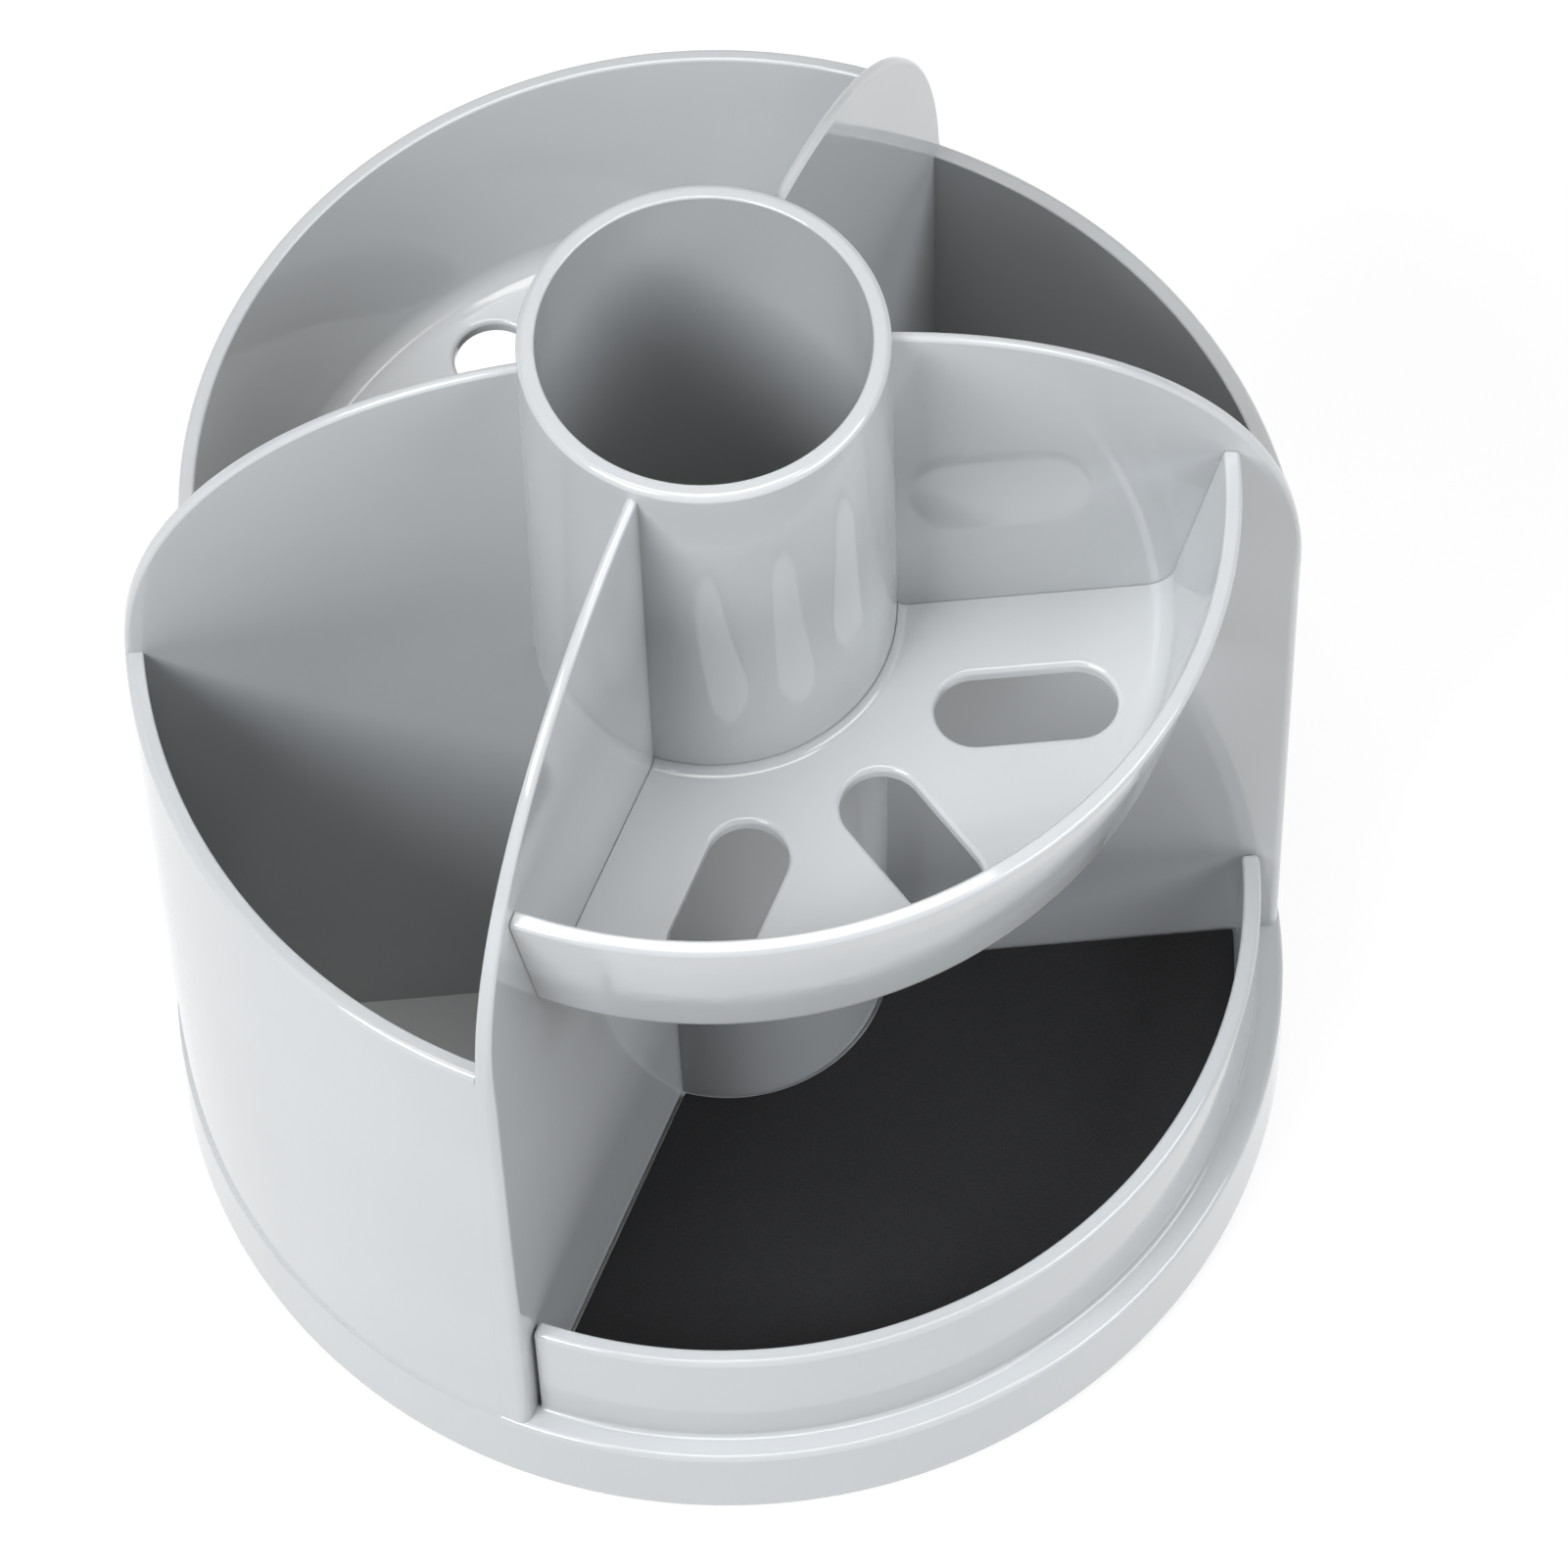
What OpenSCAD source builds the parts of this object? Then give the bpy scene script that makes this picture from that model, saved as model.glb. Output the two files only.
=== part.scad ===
// Revolving pen holder: a round base tray on a ball turntable, a centre tube, four crowned
// dividers that part two side compartments from two open bays, and a slotted upper tray over
// each bay. Millimetres, +Z up, origin at the centre of the underside, front bay towards -Y.

/* [Base tray] */
// Diameter of the base tray's skirt
base_d = 140; // [130:1:156]
// Height of the skirt, from its lower edge to the floor that everything stands on
skirt_h = 13; // [12.6:0.1:16]
// Gap between the skirt's lower edge and the desk
desk_gap = 2; // [1.5:0.1:2.6]
// Thickness of the skirt
skirt_t = 2; // [1.4:0.1:2.6]
// Thickness of the base tray's floor
floor_t = 2.2; // [1.6:0.1:2.6]
// Rounding of the ledge's outer edge
ledge_round = 0.8; // [0.5:0.1:1.8]
// Height of the low lips in front of the two bays
lip_h = 19.5; // [10:0.5:30]
// Thickness of the low lips
lip_t = 2.2; // [1.6:0.1:2.8]
// Width of the ledge outside the low lips
ledge_w = 3.6; // [2:0.1:6]
// Gap between each end of a lip and the divider beside it
lip_end_gap = 0.3; // [0.2:0.1:1.5]
// Thickness of the stiffening ribs under the floor
rib_t = 1.4; // [1:0.1:2]
// Number of stiffening ribs under the floor
rib_count = 8; // [4:2:16]

/* [Centre tube] */
// Overall height of the pen holder, to the tube's rim
total_h = 160; // [150:1:175]
// Inside diameter of the tube at its rim
tube_in_d = 38; // [30:0.2:40]
// Wall thickness of the tube
tube_t = 2.1; // [1.6:0.1:2.6]
// Growth of the tube's outside radius from its rim down to the upper trays
tube_taper = 0.4; // [0:0.1:1]
// Step in of the tube's outside just below the upper trays
tube_step = 0.9; // [0.3:0.1:1.5]
// Fall of the tube's outside radius from the step down to its foot
tube_draw = 0.9; // [0:0.1:1.5]
// Thickness of the tube's own floor
tube_floor_t = 2; // [1.5:0.1:3]
// Diameter of the screw boss under the tube
boss_d = 8; // [7:0.1:9]

/* [Dividers] */
// Thickness of the dividers at their crown
divider_t = 1.3; // [1.2:0.1:2]
// Draft of the dividers' faces, in degrees, which makes them thicker towards the floor
divider_draft = 0.45; // [0:0.05:0.6]
// Angle of each side compartment between its two dividers
side_angle = 62.8; // [54:0.2:70]
// Height of the crown curve's top below the tube's rim
crown_drop = 0.4; // [0:0.2:10]
// Radius of the crown curve's top, hidden in the tube, from which it falls towards the outer edge
crown_r = 10; // [5:0.5:16]
// Depth of the crown curve's outer end below the side walls' rim
crown_dip = 3; // [0:0.5:6]
// Rounding of the dividers' edges
divider_round = 0.6; // [0.2:0.1:0.6]
// Radius at which the locating tangs under the dividers start
tang_r = 47; // [44:1:50]
// Length of the locating tangs
tang_l = 10; // [6:1:12]
// Thickness of the locating tangs
tang_t = 1.8; // [1.4:0.1:2.4]

/* [Side walls] */
// Height of the side compartments' rim above the desk
side_rim_z = 104; // [80:1:112]
// Thickness of the side walls at their rim
side_t = 2.2; // [1.6:0.1:2.6]
// Growth of the side walls' thickness from their rim down to the floor
side_swell = 0.6; // [0:0.1:1]
// Step from the ledge's edge in to the side walls' face
side_step = 0.6; // [0.3:0.1:2]

/* [Upper trays] */
// Height of the upper trays' floor above the desk
tray_z = 100.5; // [85:0.5:108]
// Thickness of the upper trays' floor and wall
tray_t = 2; // [1.4:0.1:2.4]
// Depth of the upper trays, floor to rim
tray_depth = 28; // [14:0.5:30]
// Inside radius of the trays' wall at their floor
tray_floor_r = 53.6; // [50:0.2:57]
// Outward lean of the trays' wall over its height
tray_lean = 5.4; // [0:0.2:6]
// Rounding between the trays' floor and wall
tray_corner = 3.5; // [0.5:0.1:4.5]
// Clearance between a tray and the dividers
tray_gap = 0.15; // [0.05:0.05:0.3]
// Height of the collar that each tray has around the tube
collar_h = 1.2; // [0.6:0.1:2]
// Width of the slots in the trays' floor
slot_w = 9.8; // [6:0.2:11]
// Length of the slots in the trays' floor
slot_l = 21.6; // [14:0.1:23]
// Distance of the slots' centres from the tube's axis
slot_r = 38; // [36:0.5:39]
// Angle between the centres of neighbouring slots
slot_pitch = 34; // [32:1:36]
// Rounding of the slots' upper edges
slot_round = 0.6; // [0.2:0.1:0.8]

/* [Tray cleats] */
// Radius at which the cleats that carry the trays start
cleat_r = 28; // [26:1:32]
// Length of the cleats
cleat_l = 22; // [12:1:24]
// Width of the cleats out from the divider
cleat_w = 1.5; // [1:0.1:1.8]
// Height of the cleats
cleat_h = 2; // [1.5:0.1:4]

/* [Mats] */
// Thickness of the mats in the bays
mat_t = 1.2; // [0.8:0.1:3]
// Gap between a mat and the walls round it
mat_gap = 0.6; // [0.2:0.1:1.5]

/* [Turntable] */
// Diameter of the fixed foot plate
plate_d = 112; // [100:1:118]
// Thickness of the foot plate
plate_t = 1.8; // [1.5:0.1:2]
// Height of the foot plate's web above the desk
plate_z = 3.6; // [3.6:0.1:3.8]
// Depth of the foot plate's rim below its web
plate_rim_h = 2.2; // [1.6:0.1:2.4]
// Diameter of the bearing balls
ball_d = 5; // [4.6:0.1:5.2]
// Number of bearing balls
ball_count = 12; // [6:1:20]
// Radius of the circle that the balls run on
ball_r = 37; // [35:0.5:38]
// Clearance between the balls and their grooves
ball_gap = 0.25; // [0.2:0.01:0.3]
// Depth of each ball groove
groove_depth = 1.2; // [0.9:0.1:1.3]
// Thickness of the ball cage
cage_t = 1.2; // [0.8:0.1:1.4]
// Width of the ball cage beyond the balls, on each side
cage_margin = 2.2; // [1.6:0.1:2.6]
// Diameter of the base tray's spigot that the foot plate turns on
spigot_d = 14.1; // [13:0.1:15]
// Running clearance between the spigot and the foot plate's bore
spin_gap = 0.05; // [0.02:0.01:0.08]
// End play of the foot plate between the washer and the floor
end_play = 0.2; // [0.15:0.05:0.3]

/* [Pivot screw and washer] */
// Diameter of the washer under the spigot
washer_d = 20; // [18:0.5:24]
// Thickness of the washer
washer_t = 1; // [0.8:0.1:1.2]
// Shank diameter of the pivot screw
screw_d = 3; // [2.6:0.1:3.4]
// Head diameter of the pivot screw
head_d = 7; // [6:0.1:8]
// Head height of the pivot screw
head_h = 1.5; // [1.2:0.1:1.7]
// Length of the screw that grips in the tube's boss
screw_grip = 8; // [5:0.5:9]

/* [Rubber feet] */
// Diameter of the rubber feet
foot_d = 12; // [9:0.5:14]
// Distance of the feet from the middle of the foot plate
foot_r = 45; // [43:0.5:46]
// Depth of the recess that each foot is bonded in
foot_recess = 0.6; // [0.3:0.1:0.8]
// Number of rubber feet
foot_count = 4; // [3:1:6]

/* [Hidden] */
$fn = 96;

plastic = [0.80, 0.81, 0.84];
white_plastic = [0.90, 0.90, 0.88];
mat_black = [0.10, 0.10, 0.11];
steel = [0.72, 0.72, 0.74];
rubber = [0.16, 0.16, 0.17];

// Clearance of seated pieces, lean of the skirt, overlap of joined shapes, and how far cuts run
// past a face or through all of the part
seat = 0.1;
skirt_lean = 0.2;
eps = 0.01;
past = 1;
far = 200;

// Heights
floor_z = desk_gap + skirt_h;
floor_under = floor_z - floor_t;
lip_z = floor_z + lip_h;
crown_z = total_h - crown_drop;
crown_end_z = side_rim_z - crown_dip;
tray_under = tray_z - tray_t;
shoulder_drop = 0.5;
shoulder_z = tray_under - shoulder_drop;
plate_top = plate_z + plate_t;
washer_top = plate_z - end_play;

// Radii
base_r = base_d / 2;
lip_out_r = base_r - ledge_w;
side_out_r = base_r - side_step;
tube_top_r = tube_in_d / 2 + tube_t;
tube_shoulder_r = tube_top_r + tube_taper;
tube_neck_r = tube_shoulder_r - tube_step;
tube_foot_r = tube_neck_r - tube_draw;
tray_hole_r = tube_r(tray_under) + tray_gap;
spigot_r = spigot_d / 2;
bore_r = spigot_r + spin_gap;
plate_r = plate_d / 2;
groove_r = ball_d / 2 + ball_gap;

// The balls' centres lie midway between the two races
race_web_t = 0.3;
race_land = 1.3;
race_pad_z = plate_top + groove_depth + race_web_t;
ball_z = race_pad_z + groove_r - groove_depth;
race_z = ball_z + groove_r - groove_depth;
rib_relief = 0.6;
race_w = groove_r + race_land;

// Hub round the foot plate's bore
hub_w = 2.6;
hub_h = 2.6;
hub_top = plate_top + hub_h;

// Wall at the end of the spigot, which the tube's boss stands on
spigot_end_t = 1.6;
boss_bottom = washer_top + spigot_end_t;
screw_gap = 0.2;
screw_hole_d = screw_d + 2 * screw_gap;

// Angle from the X axis to each divider, and from the Y axis to the bays' edges
side_half = side_angle / 2;
bay_half = 90 - side_half;

// Half the thickness of a divider at height z
function divider_half(z) = divider_t / 2 + tan(divider_draft) * (crown_z - z);

// Radius of the tube's outside at height z above its shoulder
function tube_r(z) = tube_top_r + tube_taper * (total_h - z) / (total_h - shoulder_z);

// Outline of the tube's outside, from its foot up to its shoulder
tube_flank = [[tube_foot_r, floor_z], [tube_neck_r, shoulder_z - tube_step], [tube_shoulder_r, shoulder_z]];

// Points on an arc in the plane of a section, from angle a0 to a1
function arc(centre, r, a0, a1, steps = 8) = [
    for (i = [0:steps])
        let (a = a0 + (a1 - a0) * i / steps)
            centre + r * [cos(a), sin(a)]
];

// Points on the dividers' crown, a quarter of an ellipse from the outer edge up to its top
function crown(steps = 28) =
    [for (i = [0:steps]) [crown_r + (side_out_r - crown_r) * cos(90 * i / steps),
        crown_end_z + (crown_z - crown_end_z) * sin(90 * i / steps)]];

// Half of space on the +Y side of a divider that stands on the X axis, `gap` clear of its face
module beside(gap) {
    translate([0, divider_t / 2 + gap, crown_z])
        rotate([divider_draft, 0, 0])
            translate([-far, 0, -far])
                cube(2 * far);
}

// What its children share with the space between two dividers at `half` to each side of +X
module between_dividers(half, gap) {
    intersection() {
        children();
        rotate(-half)
            beside(gap);
        rotate(half)
            mirror([0, 1, 0])
                beside(gap);
    }
}

// Section of an upright wall with a full round rim, thicker by `swell` on the inside of its foot
module wall_section(r_out, t, from, to, swell = 0) {
    rim_z = to - t / 2;
    polygon([[r_out - t - swell, from], [r_out, from], [r_out, rim_z], [r_out - t, rim_z]]);
    translate([r_out - t / 2, rim_z])
        circle(d = t);
}

// Torus that both ball grooves are cut with
module ball_groove() {
    translate([0, 0, ball_z])
        rotate_extrude()
            translate([ball_r, 0])
                circle(r = groove_r);
}

// Raised ring that carries a ball groove
module race(from, to) {
    difference() {
        translate([0, 0, from])
            cylinder(r = ball_r + race_w, h = to - from);
        translate([0, 0, from - past])
            cylinder(r = ball_r - race_w, h = to - from + 2 * past);
        ball_groove();
    }
}

// Fixed plate under the turntable: web, turned-down rim, hub bore, lower race and foot pads
module foot_plate() {
    rim_w = 1.8;
    pad_w = 1.4;
    rim_chamfer = 0.8;
    hub_chamfer = 0.5;
    pad_bottom = plate_z - plate_rim_h;
    color(white_plastic)
        difference() {
            union() {
                rotate_extrude()
                    polygon([[bore_r, plate_z], [plate_r - rim_w, plate_z],
                        [plate_r - rim_w, pad_bottom], [plate_r, pad_bottom],
                        [plate_r, plate_top - rim_chamfer], [plate_r - rim_chamfer, plate_top],
                        [bore_r + hub_w, plate_top], [bore_r + hub_w - hub_chamfer, hub_top],
                        [bore_r, hub_top]]);
                race(plate_top - eps, race_pad_z);
                around(foot_count, foot_r)
                    translate([0, 0, pad_bottom])
                        cylinder(d = foot_d + 2 * pad_w, h = plate_rim_h + eps);
            }
            around(foot_count, foot_r)
                translate([0, 0, pad_bottom - eps])
                    cylinder(d = foot_d + 2 * seat, h = foot_recess + eps);
        }
}

// Copies spaced evenly on a circle, half a step off the X axis
module around(count, r) {
    for (i = [0:count - 1])
        rotate(360 * (i + 0.5) / count)
            translate([r, 0, 0])
                children();
}

// Rubber feet bonded in the foot plate's recesses, with a chamfered tread
module rubber_feet() {
    tread = 0.6;
    top = plate_z - plate_rim_h + foot_recess;
    color(rubber)
        around(foot_count, foot_r)
            rotate_extrude()
                polygon([[0, 0], [foot_d / 2 - tread, 0], [foot_d / 2, tread],
                    [foot_d / 2, top], [0, top]]);
}

// Flat ring that keeps the balls apart
module ball_cage() {
    pocket_gap = 0.15;
    color(white_plastic)
        translate([0, 0, ball_z - cage_t / 2])
            difference() {
                cylinder(r = ball_r + ball_d / 2 + cage_margin, h = cage_t);
                translate([0, 0, -past])
                    cylinder(r = ball_r - ball_d / 2 - cage_margin, h = cage_t + 2 * past);
                around(ball_count, ball_r)
                    translate([0, 0, -past])
                        cylinder(d = ball_d + 2 * pocket_gap, h = cage_t + 2 * past);
            }
}

module bearing_balls() {
    color(steel)
        around(ball_count, ball_r)
            translate([0, 0, ball_z])
                sphere(d = ball_d, $fn = 32);
}

// Washer that keeps the foot plate on the spigot
module pivot_washer() {
    color(steel)
        translate([0, 0, washer_top - washer_t])
            difference() {
                cylinder(d = washer_d, h = washer_t);
                translate([0, 0, -past])
                    cylinder(d = screw_hole_d, h = washer_t + 2 * past);
            }
}

// Pan-head screw up through the washer and the spigot into the tube's boss
module pivot_screw() {
    head_top = washer_top - washer_t;
    head_bottom = head_top - head_h;
    crown_h = 0.5;
    crown_w = 1;
    slot = [4.2, 0.9, 0.8];
    color(steel)
        difference() {
            union() {
                rotate_extrude()
                    polygon([[0, head_bottom], [head_d / 2 - crown_w, head_bottom],
                        [head_d / 2, head_bottom + crown_h], [head_d / 2, head_top], [0, head_top]]);
                translate([0, 0, head_top - eps])
                    cylinder(d = screw_d, h = boss_bottom + screw_grip - head_top);
            }
            for (a = [0, 90])
                rotate(a)
                    translate([-slot.x / 2, -slot.y / 2, head_bottom - eps])
                        cube(slot);
        }
}

// Round base: floor, skirt, two low lips, upper race, spigot and ribs
module base_tray() {
    skirt_in = base_r - skirt_t;
    rib_bottom = race_z + rib_relief;
    fillet = 1;
    color(plastic)
        difference() {
            union() {
                rotate_extrude()
                    polygon(concat([[0, floor_under], [skirt_in - fillet, floor_under],
                        [skirt_in, floor_under - fillet], [skirt_in, desk_gap], [base_r, desk_gap]],
                        arc([base_r - ledge_round - skirt_lean, floor_z - ledge_round], ledge_round, 0, 90),
                        [[0, floor_z]]));
                for (turn = [-90, 90])
                    rotate(turn)
                        bay_lip();
                race(race_z, floor_under + eps);
                translate([0, 0, washer_top])
                    cylinder(r = spigot_r, h = floor_under - washer_top + eps);
                for (i = [0:rib_count - 1])
                    rotate(360 * (i + 0.5) / rib_count)
                        floor_ribs(rib_bottom, skirt_in);
            }
            translate([0, 0, boss_bottom])
                cylinder(d = boss_d + 2 * seat, h = far);
            translate([0, 0, washer_top - past])
                cylinder(d = screw_hole_d, h = far);
            for (a = [side_half, 180 - side_half, 180 + side_half, -side_half])
                rotate(a)
                    translate([tang_r - seat, -tang_t / 2 - seat, floor_under - past])
                        cube([tang_l + 2 * seat, tang_t + 2 * seat, floor_t + 2 * past]);
        }
}

// Low lip across one bay, ending short of the dividers beside it
module bay_lip() {
    between_dividers(bay_half, lip_end_gap)
        rotate(-bay_half)
            rotate_extrude(angle = 2 * bay_half)
                wall_section(lip_out_r, lip_t, floor_z - eps, lip_z);
}

// One pair of radial ribs: from the spigot to the race, and from the race to the skirt
module floor_ribs(bottom, skirt_in) {
    bury = 0.5;
    h = floor_under - bottom + eps;
    for (span = [[spigot_r, ball_r - race_w], [ball_r + race_w, skirt_in]])
        translate([span[0] - bury, -rib_t / 2, bottom])
            cube([span[1] - span[0] + 2 * bury, rib_t, h]);
}

// Pen tube, widest under the upper trays, with a full round rim, its own floor and a screw boss
module pen_tube() {
    rim = tube_t / 2;
    rim_r = tube_r(total_h - rim);
    tip_room = 0.5;
    color(plastic)
        difference() {
            rotate_extrude() {
                polygon(concat([[0, floor_z]], tube_flank,
                    [[rim_r, total_h - rim], [rim_r - tube_t, total_h - rim],
                    [tube_foot_r - tube_t, floor_z + tube_floor_t], [0, floor_z + tube_floor_t]]));
                translate([rim_r - rim, total_h - rim])
                    circle(r = rim);
                translate([0, boss_bottom])
                    square([boss_d / 2, floor_z - boss_bottom + eps]);
            }
            translate([0, 0, boss_bottom - past])
                cylinder(d = screw_d + seat, h = screw_grip + past + tip_room);
        }
}

// Solid of the tube's outside, which the dividers end on
module tube_core() {
    top = total_h + past;
    rotate_extrude()
        polygon(concat([[0, floor_z]], tube_flank, [[tube_r(top), top], [0, top]]));
}

// Outline of a divider in its own plane, down from the crown's height. It goes a little below the
// floor, where it is cut off square.
module divider_outline() {
    foot = floor_z - past - crown_z;
    polygon(concat([[crown_r, foot], [side_out_r, foot]], [for (p = crown()) [p.x, p.y - crown_z]]));
}

// Crowned divider with rounded edges, a locating tang and a cleat on the side of its bay
module divider(angle, bay_side) {
    rounding_steps = 3;
    cleat_out = divider_half(tray_under) + cleat_w;
    color(plastic)
        rotate(angle) {
            difference() {
                hull()
                    for (face = [0, 1], i = [0:rounding_steps])
                        let (a = 90 * i / rounding_steps)
                            mirror([0, face, 0])
                                divider_layer(divider_round * (1 - sin(a)), divider_round * (1 - cos(a)));
                translate([0, -far / 2, floor_z - far])
                    cube(far);
                tube_core();
            }
            translate([tang_r, -tang_t / 2, floor_under])
                cube([tang_l, tang_t, floor_t + eps]);
            translate([cleat_r, bay_side > 0 ? 0 : -cleat_out, tray_under - cleat_h])
                cube([cleat_l, cleat_out, cleat_h]);
        }
}

// Thin layer of a divider parallel to its drafted face, `depth` below it and `inset` at its edges
module divider_layer(depth, inset) {
    translate([0, divider_t / 2 - depth, crown_z])
        rotate([90 + divider_draft, 0, 0])
            linear_extrude(height = eps)
                offset(delta = -inset)
                    divider_outline();
}

module divider_front_left() {
    divider(180 + side_half, 1);
}

module divider_front_right() {
    divider(-side_half, -1);
}

module divider_rear_left() {
    divider(180 - side_half, -1);
}

module divider_rear_right() {
    divider(side_half, 1);
}

// Curved outer wall of a side compartment, between the faces of its two dividers
module side_wall(turn) {
    color(plastic)
        rotate(turn)
            between_dividers(side_half, 0)
                rotate(-side_half)
                    rotate_extrude(angle = side_angle)
                        wall_section(side_out_r, side_t, floor_z, side_rim_z, side_swell);
}

module side_wall_left() {
    side_wall(180);
}

module side_wall_right() {
    side_wall(0);
}

// Half of a section and its mirror image, as one outline
function mirrored(half) = concat(half, [for (i = [len(half) - 1:-1:0]) [-half[i].x, half[i].y]]);

// Slot with rounded ends through a tray's floor, flared at the top edge by a rounding
module slot_cut() {
    run = slot_l - slot_w;
    side = slot_w / 2;
    above = tray_z + past;
    below = tray_under - past;
    flank = concat([[side, below]],
        arc([side + slot_round, tray_z - slot_round], slot_round, 180, 90, 4),
        [[side + slot_round, above]]);
    for (end = [-run / 2, run / 2])
        translate([end, 0, 0])
            rotate_extrude()
                polygon(concat([[0, below]], flank, [[0, above]]));
    translate([-run / 2, 0, 0])
        rotate([90, 0, 90])
            linear_extrude(height = run)
                polygon(mirrored(flank));
}

// Section of an upper tray: floor, rounded corner, leaning wall with a full round rim, and a
// hollow fillet that rises as a collar round the tube
module tray_section() {
    lean = atan(tray_lean / tray_depth);
    setback = tray_corner * (cos(lean) - tan(lean) * (1 - sin(lean)));
    corner = [tray_floor_r - setback, tray_z + tray_corner];
    across = tray_t / 2 * [cos(lean), -sin(lean)];
    rim_height = tray_depth - tray_t / 2;
    rim = [tray_floor_r + tan(lean) * (rim_height - across.y) + across.x, tray_z + rim_height];
    collar = [tray_hole_r + collar_h, tray_z + collar_h];
    polygon(concat([[tray_hole_r, tray_under]],
        arc(corner, tray_corner + tray_t, -90, -lean),
        [rim + across, rim - across],
        arc(corner, tray_corner, -lean, -90),
        arc(collar, collar_h, -90, -180)));
    translate(rim)
        circle(d = tray_t);
}

// Slotted tray over one bay
module upper_tray(turn) {
    color(plastic)
        rotate(turn)
            difference() {
                between_dividers(bay_half, tray_gap)
                    rotate(-bay_half)
                        rotate_extrude(angle = 2 * bay_half)
                            tray_section();
                for (i = [-1:1])
                    rotate(i * slot_pitch)
                        translate([slot_r, 0, 0])
                            rotate(i * (bay_half - slot_pitch))
                                slot_cut();
            }
}

module front_tray() {
    upper_tray(-90);
}

module rear_tray() {
    upper_tray(90);
}

// Mat that lies on the floor of one bay
module bay_mat(turn) {
    color(mat_black)
        rotate(turn)
            between_dividers(bay_half, mat_gap)
                translate([0, 0, floor_z])
                    difference() {
                        cylinder(r = lip_out_r - lip_t - mat_gap, h = mat_t);
                        translate([0, 0, -past])
                            cylinder(r = tube_foot_r + mat_gap, h = mat_t + 2 * past);
                    }
}

module front_mat() {
    bay_mat(-90);
}

module rear_mat() {
    bay_mat(90);
}

foot_plate();
rubber_feet();
ball_cage();
bearing_balls();
pivot_screw();
pivot_washer();
base_tray();
pen_tube();
divider_front_left();
divider_front_right();
divider_rear_left();
divider_rear_right();
side_wall_left();
side_wall_right();
front_tray();
rear_tray();
front_mat();
rear_mat();
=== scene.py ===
"""Revolving pen holder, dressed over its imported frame: a round base tray on a ball turntable, a centre
tube, four crowned dividers, two side walls, two slotted upper trays, and two mats."""
import itertools
import math

import bmesh
import bpy
from bpy.props import FloatProperty, FloatVectorProperty, IntProperty, PointerProperty
from mathutils import Matrix, Vector
from mathutils.geometry import delaunay_2d_cdt


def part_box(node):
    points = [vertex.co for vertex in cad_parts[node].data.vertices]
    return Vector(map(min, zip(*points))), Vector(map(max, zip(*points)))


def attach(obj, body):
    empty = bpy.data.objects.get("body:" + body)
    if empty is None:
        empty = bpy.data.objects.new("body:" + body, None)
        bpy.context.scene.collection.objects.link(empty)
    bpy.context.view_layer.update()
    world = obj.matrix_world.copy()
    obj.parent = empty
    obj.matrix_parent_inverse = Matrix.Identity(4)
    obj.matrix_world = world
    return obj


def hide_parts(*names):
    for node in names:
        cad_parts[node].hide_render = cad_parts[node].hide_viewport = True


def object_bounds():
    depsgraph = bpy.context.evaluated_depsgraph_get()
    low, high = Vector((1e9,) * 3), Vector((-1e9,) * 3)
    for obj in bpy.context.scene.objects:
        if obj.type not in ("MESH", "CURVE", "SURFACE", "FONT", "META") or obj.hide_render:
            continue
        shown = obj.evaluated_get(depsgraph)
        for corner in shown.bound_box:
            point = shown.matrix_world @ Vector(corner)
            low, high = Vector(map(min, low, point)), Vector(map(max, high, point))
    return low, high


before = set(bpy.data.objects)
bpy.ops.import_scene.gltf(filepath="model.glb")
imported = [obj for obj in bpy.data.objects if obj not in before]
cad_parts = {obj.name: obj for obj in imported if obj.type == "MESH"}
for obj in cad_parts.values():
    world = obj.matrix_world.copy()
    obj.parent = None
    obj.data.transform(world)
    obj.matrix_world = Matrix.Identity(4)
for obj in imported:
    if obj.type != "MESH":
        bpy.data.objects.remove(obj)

bl_info = {
    "name": "Revolving Pen Holder",
    "version": (1, 0, 0),
    "blender": (4, 5, 0),
    "location": "3D View > Sidebar > Pen Holder",
    "description": "Builds the pieces of a revolving pen holder over its packed frame",
    "category": "Object",
}

CAD_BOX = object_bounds()
LOW = {node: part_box(node)[0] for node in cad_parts}
HIGH = {node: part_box(node)[1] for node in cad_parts}

# Heights that pieces share: the base tray's floor, the upper trays' underside, the side walls' rim, and
# the tube's shoulder, which is hidden just below the upper trays
FLOOR_Z = LOW["front_mat"].z
TRAY_Z = LOW["front_tray"].z
RIM_Z = HIGH["side_wall_left"].z
SHOULDER_DROP = 0.0005
SHOULDER_Z = TRAY_Z - SHOULDER_DROP

# Turn of each bay and each side compartment about the axis, in degrees
BAYS = {"front": -90, "rear": 90}
SIDES = {"left": 180, "right": 0}

# The side compartment of each divider, and whether the divider and its bay lie anticlockwise of it (1) or
# clockwise (-1)
DIVIDERS = {"front_left": ("left", 1), "front_right": ("right", -1),
            "rear_left": ("left", -1), "rear_right": ("right", 1)}

# Fine sizes that mouldings share: small rounding of edges, overlap of joined shapes, room round a seated
# piece, room round the screw, and depth of the ball grooves
FINE = 0.0003
SUNK = 0.0005
SEAT = 0.0001
SCREW_ROOM = 0.0002
GROOVE_DEPTH = 0.0012

# Directions in degrees, from the end face round to the side, of the points that round each end of a
# sector, and their number
END_TURNS = (90, 60, 30, 0)
END = len(END_TURNS)

# How meshes are finished: welding distance, least angle of a sharp edge, and how much large faces count
# in the shading, in percent
WELD = 1e-6
SHARP = math.radians(35)
FACE_WEIGHT = 90

# Flat faces are triangulated in millimetres, and the width of the camera's sensor is given in them
MM = 1000
SENSOR = 36


# Sizes and colours

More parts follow.
